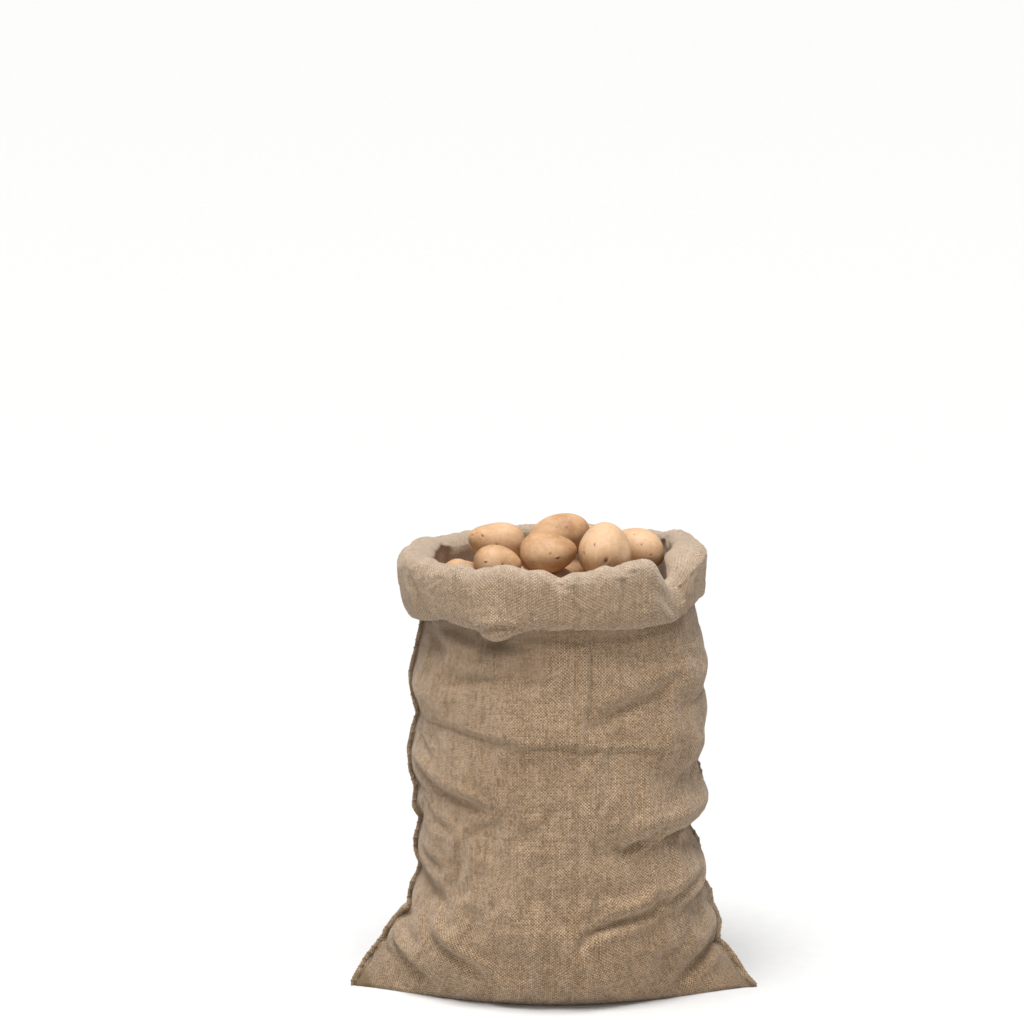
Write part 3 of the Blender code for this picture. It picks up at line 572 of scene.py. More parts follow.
def makeSack(seams):
    s, count, dents = sackCloth, sackCloth["rows"], sackCloth["dents"]
    bearing = -math.pi + np.arange(s["around"]) * math.tau / s["around"]
    points, wallEnd = clothRows(bearing, count)
    normals = surfaceNormals(points)
    height = points[..., 2].copy()
    rowNumber = np.arange(len(points))[:, None]
    archStart = wallEnd + count["behind"]
    archEnd = archStart + count["arch"]
    hemStart = len(points) - count["hem"] - count["fold"] // 2
    fromRim = lengthsUp(points)
    fromRim = fromRim - fromRim[archStart + count["arch"] // 2]
    onWall, belowEdge = rowNumber < wallEnd, rowNumber < wallEnd + 3
    onCuff = (rowNumber >= wallEnd) & (rowNumber < hemStart)
    placed = threadBearing(bearing[None, :], np.where(onWall, height, sackForm["cuffEdge"]))

    rng = np.random.default_rng(dents["seed"])
    # gentle dents and bulges where the potatoes press
    relief = np.zeros(points.shape[:2])
    for k in range(dents["count"]):
        at, level = rng.uniform(-180, 180), rng.uniform(*dents["heights"])
        away = np.hypot(turnFrom(placed, at) * columnRadius, height - level)
        relief += dents["deep"] * rng.uniform(-1, 1) * bell(away, rng.uniform(*dents["wide"]))
    relief *= np.where(onWall, 1, dents["onCuff"])
    relief -= np.where(belowEdge, smallCreases(s["wallCreases"], placed, height), 0)
    relief += np.where(onCuff, smallCreases(s["cuffCreases"], placed, fromRim), 0)
    footTop, footFade = s["foot"]
    points = points + normals * (relief * np.clip((height - footTop) / footFade, 0, 1))[..., None]

    hold = np.full(height.shape, sackDrape["hold"]["cuff"])
    hold[:archStart] = sackDrape["hold"]["wall"]
    hold[archStart:archEnd] = sackDrape["hold"]["rim"]
    calmAt, calmSpread, calmHold = sackDrape["calm"]
    hold = np.maximum(hold, calmHold * nearTurn(placed, calmAt, calmSpread) * onCuff)
    hold[:count["base"] + 2] = hold[hemStart:] = 1
    for column in seamColumns.values():
        hold[:wallEnd + 2, column - 2:column + 3] = 1
    points = drapeSack(points, hold)
    pullToSeams(points, seams, slice(count["base"], wallEnd + 2))

    run = lengthsUp(points)
    levelRow = np.argmin(np.abs(height[:wallEnd, 0] - s["levelHeight"]))
    run = smoothAround(run - run[levelRow], s["levelSmooth"])
    around = np.append(np.arange(s["around"]), 0)
    uAlong = np.append(bearing, math.pi) * columnRadius
    uv = np.stack([np.broadcast_to(uAlong, (len(points), len(uAlong))), run[:, around]], axis=-1)
    marks = marksOf(points, bearing, placed, height, fromRim, onWall, belowEdge, onCuff)
    marks = {name: mark[:, around] for name, mark in marks.items()}
    piece = gridPiece("sack_cloth", points[:, around], uv, marks)
    middle = pointsOf(piece.data.vertices)
    facing = np.array([v.normal for v in piece.data.vertices], float)
    waistAt, waistHigh = s["waist"]
    waist = np.abs(middle[:, 2] - waistAt) < waistHigh
    facing *= np.sign(np.sum(facing[waist, :2] * middle[waist, :2]))  # out of the wall
    thick = piece.modifiers.new("thickness", "SOLIDIFY")
    thick.thickness, thick.offset = s["thick"], 0
    applyModifiers(piece)
    # the cloth's inner face is lighter, partly as its cleaner side and partly as painted light: it shows
    # inside the sack and, turned out, on the cuff
    faces = pointsOf(piece.data.vertices).reshape(2, -1, 3)
    side = np.sum((faces - middle) * facing, axis=2).ravel() < 0
    mark = piece.data.attributes.new("innerFace", "FLOAT", "POINT")
    mark.data.foreach_set("value", side.astype(np.float32))
    clothLength = round(float(run[-1].mean() - run[0].mean()), 3)
    print("sack cloth,", len(piece.data.polygons), "faces, cloth length", clothLength)
    return piece


# The welts: the side seams' turned edges, rolled like a rope and oversewn
seamForm = {
    "wide": 0.0100,
    "thick": 0.0052,
    "bend": 0.012,  # no tighter bend than this radius
    "off": 0.0014,  # clear of the cloth
    "tilt": 0.35,  # the welt's edge turns up a little
    "above": 0.0004,  # the floor
    "wave": 0.0022,
    "waveLength": 0.042,
    "slipReach": 130,  # the threads between the seams turn with the right one, so many degrees round in all
    "board": 56,  # the strips round the solid sack: the welt clears its neighbours too
    "levels": (0.0135, 0.292, 0.0145),  # the wall is measured here, close together, and above that
    "levelsAbove": (0.315, 0.645, 12),
    "samples": 500,
    "step": 0.0028,
    "underCuff": 0.012,
    "sides": 16,
    "paths": {
        "left": readTable("height bearing turn", ((0.0, -90, -14), (0.7, -90, -14))),
        "right": readTable(
            "height bearing turn",
            ((0.0, 90, 8), (0.05, 90, 8), (0.12, 94, 55), (0.24, 104, 74), (0.7, 106, 74)),
        ),
    },
    "flange": {"deep": 0.36, "shares": (0.05, 0.22, 1, 0.22, 0.05), "above": 0.010, "fade": 0.02},
    "girth": 0.024,
    "endTaper": (0.006, 0.25),  # over this length the ends grow from this share
    "fuller": (0.88, (61, 0.09, 1.1), (173, 0.07, 0.0)),  # fuller and thinner by turns: waves, size, phase
    "lips": (0.16, 0.35),  # the groove between the two turned edges: depth, width
    "shadeAndDarkening": 0.4,
    "stitchPitch": 0.0125,
    "stitchThick": 0.0020,
    "stitchSteps": 18,
    "stitchSides": 8,
    "stitchOut": 0.76,  # the thread lies in the welt's edge and on its flat sides
    "stitchOver": (0.86, 0.2),
    "stitchGirth": 0.006,
    "plyTwist": 0.010,
    "plyDeep": 0.22,
    "pinch": (0.26, 0.16),  # where the thread pulls the welt in: depth, width
}


def rolledLine(out, up, radius, places, sign):
    away = np.abs(places[:, None] - up)
    lift = np.sqrt(np.clip(radius**2 - away**2, 0, None))
    return sign * np.max(sign * np.where(away <= radius, out + sign * lift, -sign * np.inf), axis=1)


def seamBearing(side, height):
    table = seamForm["paths"][side]
    return (np.radians(np.interp(height, table["height"], table[name])) for name in ("bearing", "turn"))


def seamLine(side):
    f = seamForm
    edgeRise, _ = readWaves(sackForm["cuffEdgeWaves"], np.radians([f["paths"][side]["bearing"][-1]]))
    places = np.linspace(sackForm["cuffEdge"] + edgeRise[0] + f["underCuff"], 0.001, f["samples"])
    path, turn = seamBearing(side, places)
    outX, outY = outwardAt(path, sectionAt(places))
    heights = np.concatenate([[0.0, 0.006], np.arange(*f["levels"]), np.linspace(*f["levelsAbove"])])
    rows = np.arange(len(heights))
    fine = np.linspace(0, rows[-1], f["samples"])
    outs, ups = [], []
    for step in (-1, 0, 1):
        points = wallAt(path[:, None] + step * math.tau / f["board"], heights[None, :])
        reach = points[..., 0] * outX[:, None] + points[..., 1] * outY[:, None]
        outs.append([np.interp(fine, rows, row) for row in reach])
        ups.append([np.interp(fine, rows, row) for row in points[..., 2]])
    far = rolledLine(np.concatenate(outs, axis=1), np.concatenate(ups, axis=1), f["bend"], places, 1)
    keepOff = np.hypot(f["wide"] * np.cos(turn), f["thick"] * np.sin(turn)) / 2 + f["off"]
    near = rolledLine(far[None, :], places[None, :], (f["bend"] - keepOff)[:, None], places, -1)
    start = wallAt(path, places)
    along = start[:, 1] * outX - start[:, 0] * outY
    line = np.stack([near * outX - along * outY, near * outY + along * outX, places], axis=1)
    lengths = np.concatenate([[0], np.cumsum(np.linalg.norm(np.diff(line, axis=0), axis=1))])
    run = np.linspace(0, lengths[-1], round(lengths[-1] / f["step"]))
    return interpRows(run, lengths, line), run


# The frame that travels down a seam: centre, straight out, and across
def seamFrames(side):
    line, run = seamLine(side)
    path, turn = seamBearing(side, line[:, 2])
    outX, outY = outwardAt(path, sectionAt(line[:, 2]))
    hand = {"left": 1, "right": -1}[side]
    flat = 0 * outX
    straight, aside = np.stack([outX, outY, flat], axis=1), np.stack([outY, -outX, flat], axis=1) * hand
    along = unitRows(np.gradient(line, axis=0))
    out = straight * np.cos(turn)[:, None] + aside * np.sin(turn)[:, None]
    out = out + np.array([0, 0, seamForm["tilt"]])
    out = unitRows(out - along * np.sum(out * along, axis=1)[:, None])
    over = np.cross(along, out)
    centre = line + aside * (seamForm["wave"] * np.sin(math.tau * run / seamForm["waveLength"]))[:, None]
    return centre, out, over, run


def sweepPiece(name, centre, out, over, outSize, overSize, run, sides, girth, shadeAndDarkening=0.0):
    turns = np.arange(sides + 1) * math.tau / sides
    ring = np.cos(turns)[None, :, None] * out[:, None] * outSize[..., None]
    ring = ring + np.sin(turns)[None, :, None] * over[:, None] * overSize[..., None]
    points = centre[:, None] + ring
    points[..., 2] = np.maximum(points[..., 2], seamForm["above"])
    shape = points.shape[:2]
    uv = [np.broadcast_to(turns / math.tau * girth, shape), np.broadcast_to(run[:, None], shape)]
    uv = np.stack(uv, axis=-1)
    # with closed ends
    points = np.concatenate([points[:1] * 0 + centre[0], points, points[:1] * 0 + centre[-1]])
    uv = np.concatenate([uv[:1], uv, uv[-1:]])
    return gridPiece(name, points, uv, {"shadeAndDarkening": np.full(points.shape[:2], shadeAndDarkening)})


def makeSeam(side, frames):
    f = seamForm
    centre, out, over, run = frames
    turns = np.arange(f["sides"] + 1) * math.tau / f["sides"]
    phase = run / f["stitchPitch"] % 1
    pinchDeep, pinchWide = f["pinch"]
    pinch = 1 - pinchDeep * bell(np.minimum(phase, 1 - phase), pinchWide)
    taper, thinnest = f["endTaper"]
    ends = np.clip(np.minimum(run - run[0], run[-1] - run) / taper, thinnest, 1) ** 0.5
    fullness, *waves = f["fuller"]
    for rate, size, at in waves:
        fullness = fullness + size * np.sin(rate * run + at)
    ends *= fullness
    lipDeep, lipWide = f["lips"]
    lips = 1 - lipDeep * bell(turnFrom(turns, 0), lipWide)
    outSize = f["wide"] / 2 * (pinch * ends)[:, None] * lips[None, :]
    overSize = np.broadcast_to((f["thick"] / 2 * (0.5 + 0.5 * pinch) * ends)[:, None], outSize.shape)
    sizes = (outSize, overSize, run, f["sides"], f["girth"], f["shadeAndDarkening"])
    welt = sweepPiece(f"seam_welt_{side}", centre, out, over, *sizes)
    # one thread winds round the welt, over its pinched places
    steps = int((run[-1] - run[0]) / f["stitchPitch"] * f["stitchSteps"])
    fine = np.linspace(run[0] + taper / 2, run[-1] - taper / 2, steps)
    c, o, v = (interpRows(fine, run, rows) for rows in (centre, out, over))
    o, v = unitRows(o), unitRows(v)
    a = math.tau * fine / f["stitchPitch"]
    onWelt, proud = f["stitchOver"]
    thread = c + o * (np.cos(a) * f["wide"] / 2 * f["stitchOut"])[:, None]
    thread = thread + v * (np.sin(a) * (f["thick"] / 2 * onWelt + f["stitchThick"] * proud))[:, None]
    along = unitRows(np.gradient(thread, axis=0))
    lift = unitRows(thread - c)
    lift = unitRows(lift - along * np.sum(lift * along, axis=1)[:, None])
    length = np.concatenate([[0], np.cumsum(np.linalg.norm(np.diff(thread, axis=0), axis=1))])
    spin = math.tau * length / f["plyTwist"]
    corners = np.arange(f["stitchSides"] + 1) * math.tau / f["stitchSides"]
    ply = 1 - f["plyDeep"] + f["plyDeep"] * np.abs(np.cos(corners[None, :] - spin[:, None]))
    size = f["stitchThick"] / 2 * ply
    sizes = (size, size, length, f["stitchSides"], f["stitchGirth"])
    stitches = sweepPiece(f"seam_thread_{side}", thread, lift, np.cross(along, lift), *sizes)
    print("seam", side, round(float(run[-1]), 3), "m long")
    return welt, stitches


# Potatoes, each on a smooth form fitted through its solid's corners
potatoLook = {
    "fineness": 6,  # of the potatoes that show
    "finenessBelow": 4,
    "slack": 0.988,  # a little smaller than the smooth form, so that neighbours stay clear
    "eyes": (3, 6),
    "eyeWide": 0.0034,
    "eyeDeep": 0.0014,
    "eyeShares": ((0.4, 0.8), (0.3, 0.7)),  # of its width and of its darkness
    "pit": (1.5, 0.62),  # an eye's pit and the brow over it: long, wide, and the brow's place and height
    "brow": (2.1, 0.55, 0.9, 0.5),
    "skinDeep": 0.006,  # an eye marks only the skin so near to it
    "dents": (9, 14),
    "dentWide": (0.008, 0.020),
    "dentDeep": 0.0014,
    "dentOut": -0.5,  # some dents are bumps
    "tones": {17: 0.30, 18: 0.62, 19: 0.45, 20: 0.05, 21: 0.95, 22: 0.85},
    "narrows": {17: 0.06, 18: -0.05, 19: 0.05, 20: -0.04, 21: 0.16, 22: 0.08},  # towards the top
    # eyes that face the front: right and up from the middle, width
    "frontEyes": {
        17: ((-0.018, 0.006, 0.0024), (0.008, 0.002, 0.0028)),
        18: ((-0.022, 0.014, 0.0032), (0.000, 0.001, 0.0020)),
        19: ((-0.030, 0.004, 0.0022), (0.012, 0.014, 0.0018)),
        20: ((0.014, -0.001, 0.0030), (0.003, 0.006, 0.0018), (-0.022, -0.008, 0.0016)),
        21: ((0.001, -0.008, 0.0044), (-0.018, 0.016, 0.0024), (-0.034, 0.002, 0.0026)),
        22: ((0.006, 0.012, 0.0020), (0.020, -0.004, 0.0020)),
    },
}


def potatoTerms(d):
    powers = [(i, j, k) for i in range(5) for j in range(5 - i) for k in range(5 - i - j)]
    return np.stack([d[:, 0] ** i * d[:, 1] ** j * d[:, 2] ** k for i, j, k in powers], axis=1)


def makePotato(node):
    look = potatoLook
    number = int(node.split("_")[1])
    rng = np.random.default_rng(100 + number)
    corners = pointsOf(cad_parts[node].data.vertices)
    middle = (corners.min(0) + corners.max(0)) / 2
    axes = np.linalg.eigh(np.cov((corners - middle).T))[1]
    local = (corners - middle) @ axes
    half = np.abs(local).max(0)
    local /= half
    reach = np.linalg.norm(local, axis=1)
    weights = np.linalg.lstsq(potatoTerms(local / reach[:, None]), reach, rcond=1e-6)[0]
    bm = bmesh.new()
    fineness = look["fineness"] if number in look["tones"] else look["finenessBelow"]
    bmesh.ops.create_icosphere(bm, subdivisions=fineness, radius=1)
    d = pointsOf(bm.verts)
    # now in the sack's axes
    shape = (d * (potatoTerms(d) @ weights)[:, None] * half * look["slack"]) @ axes.T
    normals = unitRows((d / half) @ axes.T)
    relief, eyeMark = np.zeros(len(d)), np.zeros(len(d))
    places = []
    for right, up, wide in look["frontEyes"].get(number, ()):
        aside = np.hypot(shape[:, 0] - right, shape[:, 2] - up) + 0.2 * (shape[:, 1] > 0)  # on the front half
        places.append((np.argmin(aside), wide, 1.0))
    for k in range(rng.integers(*look["eyes"])):
        at = np.argmax(d @ unitRows(rng.normal(size=3)))
        wide, dark = (rng.uniform(*shares) for shares in look["eyeShares"])
        places.append((at, look["eyeWide"] * wide, dark))
    (pitLong, pitWide), (browLong, browWide, browOff, browHigh) = look["pit"], look["brow"]
    for at, wide, dark in places:
        up = unitRows(normals[at])
        side = unitRows(np.cross(up, unitRows(rng.normal(size=3))))
        a, b, off = ((shape - shape[at]) @ axis for axis in (side, np.cross(up, side), up))
        near = bell(off, look["skinDeep"])
        pit = bell(np.hypot(a / pitLong, b), wide * pitWide) * near
        brow = bell(np.hypot(a / browLong, b - browOff * wide), wide * browWide) * near
        relief += look["eyeDeep"] * wide / look["eyeWide"] * (browHigh * brow - pit)
        eyeMark = np.maximum(eyeMark, pit * dark)
    for k in range(rng.integers(*look["dents"])):
        away = np.linalg.norm(shape - shape[rng.integers(len(shape))], axis=1)
        dent = bell(away, rng.uniform(*look["dentWide"])) * rng.uniform(look["dentOut"], 1)
        relief -= look["dentDeep"] * dent
    top = np.abs(shape[:, 2]).max()
    narrow = 1 - look["narrows"].get(number, 0) * (shape[:, 2] / top + 0.25)
    shape = shape * np.stack([narrow, narrow, np.ones_like(narrow)], axis=1)
    world = shape + normals * relief[:, None] + middle
    mark = bm.verts.layers.float.new("eye")
    tone = bm.verts.layers.float.new("tone")
    own = look["tones"].get(number, rng.uniform(0, 1))
    for vert, place, eye in zip(bm.verts, world, eyeMark):
        vert.co = place
        vert[mark], vert[tone] = eye, own
    bmesh.ops.recalc_face_normals(bm, faces=bm.faces)
    return meshObject(f"skin_{node}", bm)


# The buried potatoes, as one bed whose surface is all rounded humps
bedLook = {"voxel": 0.009, "hump": 0.030, "humps": 900, "deep": 0.010, "seed": 12}


def makeBed():
    bm = bmesh.new()
    bm.from_mesh(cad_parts["potato_heap"].data)
    bmesh.ops.remove_doubles(bm, verts=bm.verts, dist=1e-6)
    piece = meshObject("potato_bed", bm)
    remesh = piece.modifiers.new("even", "REMESH")
    remesh.mode, remesh.voxel_size = "VOXEL", bedLook["voxel"]
    applyModifiers(piece)
    co = pointsOf(piece.data.vertices)
    normals = np.array([v.normal for v in piece.data.vertices], float)
    rng = np.random.default_rng(bedLook["seed"])
    humps = rng.uniform(co.min(0), co.max(0), (bedLook["humps"], 3))
    nearest = np.min(np.linalg.norm(co[:, None] - humps[None], axis=2), axis=1)
    hump = np.clip(nearest / bedLook["hump"], 0, 1) ** 2
    co -= normals * (bedLook["deep"] * hump)[:, None]
    piece.data.vertices.foreach_set("co", co.astype(np.float32).ravel())
    for name in ("eye", "tone"):  # both stay 0
        piece.data.attributes.new(name, "FLOAT", "POINT")
    piece.data.shade_smooth()
    print("potato bed,", len(piece.data.polygons), "faces")
    return piece


# Node helpers for the materials
def startMaterial(name, **sockets):
    material = bpy.data.materials.new(name)
    material.use_nodes = True
    tree = material.node_tree
    shader = tree.nodes["Principled BSDF"]
    for key, value in sockets.items():
        shader.inputs[key.replace("_", " ")].default_value = value

    def node(kind, sockets, **settings):
        made = tree.nodes.new("ShaderNode" + kind)
        for key, value in settings.items():
            setattr(made, key, value)
        for key, value in sockets.items():
            if isinstance(value, bpy.types.NodeSocket):
                tree.links.new(value, made.inputs[key])
            else:
                made.inputs[key].default_value = value
        return made.outputs

    def calc(operation, *values, clamp=False):
        return node("Math", dict(enumerate(values)), operation=operation, use_clamp=clamp)["Value"]

    def mix(share, a, b, kind="MIX"):
        return node("Mix", {0: share, 6: a, 7: b}, data_type="RGBA", blend_type=kind)[2]

    def ramp(share, *stops):
        made = tree.nodes.new("ShaderNodeValToRGB")
        tree.links.new(share, made.inputs[0])
        while len(made.color_ramp.elements) < len(stops):
            made.color_ramp.elements.new(0.5)
        for element, (place, colour) in zip(made.color_ramp.elements, stops):
            element.position, element.color = place, (*colour, 1)
        return made.outputs[0]

    def cover(colour, amount, share, over, clamp=False):
        return mix(calc("MULTIPLY", amount, share, clamp=clamp), colour, (*over, 1))

    def noise(at, scale, detail=2.0, roughness=0.5, flat=False):
        sockets = {"Vector": at, "Scale": scale, "Detail": detail, "Roughness": roughness}
        return node("TexNoise", sockets, noise_dimensions="2D" if flat else "3D")[0]

    def finish(colour, roughness, height, distance, strength=1.0):
        tree.links.new(colour, shader.inputs["Base Color"])
        if roughness is not None:
            tree.links.new(roughness, shader.inputs["Roughness"])
        bump = node("Bump", {"Height": height, "Distance": distance, "Strength": strength})
        tree.links.new(bump["Normal"], shader.inputs["Normal"])
        return material

    return node, calc, mix, cover, ramp, noise, finish


weave = {
    "warpPitch": 0.00225,
    "weftPitch": 0.00240,
    "wander": ((11, 0.0060), (75, 0.0014)),  # pattern scale, and how far the threads stray
    "slubRate": 26,
    "threadWide": (0.30, 0.34),  # half a thread's width in pitches, and how much more on a slub
    "round": 0.6,
    "under": 0.38,  # how high a thread lies where it passes under another
    "fibreScale": 2600,
    "fibreHigh": 0.18,
    "relief": 0.0010,
    # how much of the tone comes from each
    "tones": {"slub": 0.24, "onTop": 0.30, "own": 0.13, "knot": 0.24, "fibres": 0.34},
    "stain": (0.86, 0.80, 0.72),
    "cleanAndLitShare": (0.17, 0.55),  # of the inner face, lighter partly as its cleaner side and partly as painted light, and more painted light inside the mouth
    # painted shade beside the seams and under the cuff, and the darker corners and welts
    "shadeAndDarkShare": 0.60,
    "flapShare": 0.90,
    # painted shade in the gaps between the threads
    "gapShadeShare": 0.85,
    # painted light on the rim's fuzzy top
    "fuzzSheenShare": 0.50,
    "rough": (0.85, 0.1),  # and more on a slub
    "gapFine": (1.6, 1.6),  # the gaps are finer the higher this is, with the knots' share first
    "stainScale": 5.5,
    "stainShare": (1.6, -0.55),  # contrast and start of its patches
    # patches of the painted light on the rim's fuzz
    "fuzzSheenScale": 120,
    "fuzzSheenPatches": (1.3, -0.15),
    "dark": (0.125, 0.078, 0.045),
    "middle": (0.366, 0.243, 0.140),
    "light": (0.635, 0.480, 0.335),
    # the colour of the painted shade between the threads
    "gap": (0.060, 0.036, 0.020),
    # the inner face's lighter colour, partly painted light
    "inner": (0.470, 0.370, 0.275),
    # the colour of the painted light on the rim's fuzz
    "fuzzSheen": (0.700, 0.590, 0.490),
    # the colour of the painted shade beside the seams and under the cuff, and of the darker corners and welts
    "shadeAndDarkColour": (0.150, 0.100, 0.060),
    "flap": (0.210, 0.135, 0.060),
}


def hessianMaterial(name):
    w = weave
    node, calc, mix, cover, ramp, noise, finish = startMaterial(
        name,
        Sheen_Weight=0.45,
        Sheen_Roughness=0.45,
        Sheen_Tint=(0.94, 0.85, 0.77, 1),
        Specular_IOR_Level=0.12,
    )
    uv = node("UVMap", {}, uv_map="cloth")["UV"]
    flat = node("SeparateXYZ", {0: uv})
    across, up = flat["X"], flat["Y"]
    for scale, far in w["wander"]:
        bendA, bendB = noise(uv, scale, 1, flat=True), noise(uv, scale * 1.23, 1, flat=True)
        across = calc("MULTIPLY_ADD", calc("SUBTRACT", bendA, 0.5), far, across)
        up = calc("MULTIPLY_ADD", calc("SUBTRACT", bendB, 0.5), far, up)

    def thread(at, along, pitch, seed):
        place = calc("DIVIDE", at, pitch)
        index = calc("FLOOR", place)
        own = node("TexWhiteNoise", {"W": calc("ADD", index, seed)}, noise_dimensions="1D")["Value"]
        lengthwise = (calc("MULTIPLY", index, seed), calc("MULTIPLY", along, w["slubRate"]), 0.0)
        combined = node("CombineXYZ", dict(enumerate(lengthwise)))[0]
        slub = noise(combined, 1.0, 3.5, 0.7, flat=True)
        middle = calc("ABSOLUTE", calc("SUBTRACT", calc("FRACT", place), 0.5))
        thin, more = w["threadWide"]
        wide = calc("MULTIPLY_ADD", slub, more, thin)
        edge = calc("DIVIDE", middle, wide)
        body = calc("SUBTRACT", 1.0, calc("MULTIPLY", edge, edge), clamp=True)
        return place, index, slub, body, own

    warpPlace, warpIndex, warpSlub, warpBody, warpOwn = thread(across, up, w["warpPitch"], 7.31)
    weftPlace, weftIndex, weftSlub, weftBody, weftOwn = thread(up, across, w["weftPitch"], 5.17)

    def crossing(place, index):  # 1 where this thread lies on top
        angle = calc("MULTIPLY", calc("ADD", calc("SUBTRACT", place, 0.5), index), math.pi)
        return calc("MULTIPLY_ADD", calc("COSINE", angle), 0.5, 0.5)

    warpTop = crossing(weftPlace, warpIndex)
    weftTop = calc("SUBTRACT", 1.0, crossing(warpPlace, weftIndex))

    def highOf(body, top):
        rounded = calc("POWER", body, w["round"])
        return calc("MULTIPLY", rounded, calc("MULTIPLY_ADD", top, 1 - w["under"], w["under"]))

    warpHigh, weftHigh = highOf(warpBody, warpTop), highOf(weftBody, weftTop)
    height = calc("MAXIMUM", warpHigh, weftHigh)
    onTop = calc("GREATER_THAN", warpHigh, weftHigh)
    slub = node("Mix", {0: onTop, 2: weftSlub, 3: warpSlub}, data_type="FLOAT")[0]
    own = node("Mix", {0: onTop, 2: weftOwn, 3: warpOwn}, data_type="FLOAT")[0]
    cell = node("CombineXYZ", {0: warpIndex, 1: weftIndex, 2: 0.0})[0]
    # no two crossings are alike
    knot = node("TexWhiteNoise", {"Vector": cell}, noise_dimensions="2D")["Value"]
    fibres = noise(uv, w["fibreScale"], 1, flat=True)
    rimTopLight = node("Attribute", {}, attribute_name="rimTopLight")["Fac"]
    tone = 0.50
    for share, size in zip((slub, onTop, own, knot, fibres), w["tones"].values()):
        tone = calc("MULTIPLY_ADD", calc("SUBTRACT", share, 0.5), size, tone)
    colour = ramp(tone, (0.20, w["dark"]), (0.50, w["middle"]), (0.80, w["light"]))
    place = node("TexCoord", {})["Object"]
    broad = noise(place, w["stainScale"], 3, 0.55)
    stained = mix(1.0, colour, (*w["stain"], 1), "MULTIPLY")
    colour = mix(calc("MULTIPLY_ADD", broad, *w["stainShare"], clamp=True), colour, stained)
    inner, mouthLight, shadeAndDarkening, flap = (
        node("Attribute", {}, attribute_name=mark)["Fac"]
        for mark in ("innerFace", "mouthLight", "shadeAndDarkening", "flap")
    )
    # the inner face is lighter, partly as its cleaner side and partly as painted light, with more painted
    # light inside the mouth
    cleanAndLit, mouthLit = w["cleanAndLitShare"]
    cleanAndLit = calc("MULTIPLY", inner, calc("MULTIPLY_ADD", mouthLight, mouthLit, cleanAndLit))
    colour = mix(cleanAndLit, colour, (*w["inner"], 1))
    # painted shade beside the seams and under the cuff, and the darker corners and welts
    colour = cover(colour, shadeAndDarkening, w["shadeAndDarkShare"], w["shadeAndDarkColour"], clamp=True)
    colour = cover(colour, flap, w["flapShare"], w["flap"])
    # painted shade in the gaps where the threads lie low
    filled = calc("MULTIPLY", height, calc("MULTIPLY_ADD", knot, *w["gapFine"]))
    gapShade = calc("SUBTRACT", 1.0, filled, clamp=True)
    colour = cover(colour, gapShade, w["gapShadeShare"], w["gap"])
    # painted light on the rim's fuzzy top, in patches
    patches = noise(place, w["fuzzSheenScale"], 3, 0.6)
    fuzzSheen = calc("MULTIPLY", rimTopLight, calc("MULTIPLY_ADD", patches, *w["fuzzSheenPatches"], clamp=True))
    colour = cover(colour, fuzzSheen, w["fuzzSheenShare"], w["fuzzSheen"])
    proud = calc("MULTIPLY", height, calc("MULTIPLY_ADD", calc("ADD", slub, knot), 0.5, 0.5))
    relief = calc("MULTIPLY_ADD", fibres, w["fibreHigh"], proud)
    rough, rougher = w["rough"]
    return finish(colour, calc("MULTIPLY_ADD", slub, rougher, rough), relief, w["relief"])


seamYarn = {
    "twist": (2100, 1500),  # round and along the thread
    "slubScale": 90,
    "dark": (0.13, 0.085, 0.045),
    "middle": (0.30, 0.205, 0.115),
    "light": (0.48, 0.365, 0.235),
    "relief": 0.0005,
}


def yarnMaterial(name):
    y = seamYarn
    node, calc, mix, cover, ramp, noise, finish = startMaterial(
        name, Sheen_Weight=0.3, Sheen_Roughness=0.45, Sheen_Tint=(0.9, 0.8, 0.66, 1), Specular_IOR_Level=0.15)
    uv = node("UVMap", {}, uv_map="cloth")["UV"]
    flat = node("SeparateXYZ", {0: uv})
    around, along = y["twist"]
    twist = calc("SINE", calc("ADD", calc("MULTIPLY", flat["X"], around), calc("MULTIPLY", flat["Y"], along)))
    slub = noise(uv, y["slubScale"], 3, flat=True)
    tone = calc("MULTIPLY_ADD", twist, 0.14, slub)
    colour = ramp(tone, (0.25, y["dark"]), (0.52, y["middle"]), (0.76, y["light"]))
    return finish(colour, None, calc("MULTIPLY_ADD", slub, 0.5, calc("MULTIPLY", twist, 0.5)), y["relief"])


potatoSkin = {
    "pale": (0.620, 0.405, 0.240),
    "tan": (0.490, 0.285, 0.145),
    "brown": (0.330, 0.170, 0.080),
    "eye": (0.105, 0.050, 0.022),
    "blotchScale": 22,
    "fineScale": 150,
    "scurfScale": 60,
    "speckScale": 230,
    "speckFine": 5.5,
    "grainScale": 700,
    "scurf": (5.0, -2.9),  # contrast and start of its patches
    "rough": (0.25, 0.42),
    "shares": {"blotches": 0.75, "fine": 0.35, "tone": 0.20, "scurf": 0.40, "specks": 0.7, "eyes": 0.95},
    "relief": 0.0009,
}


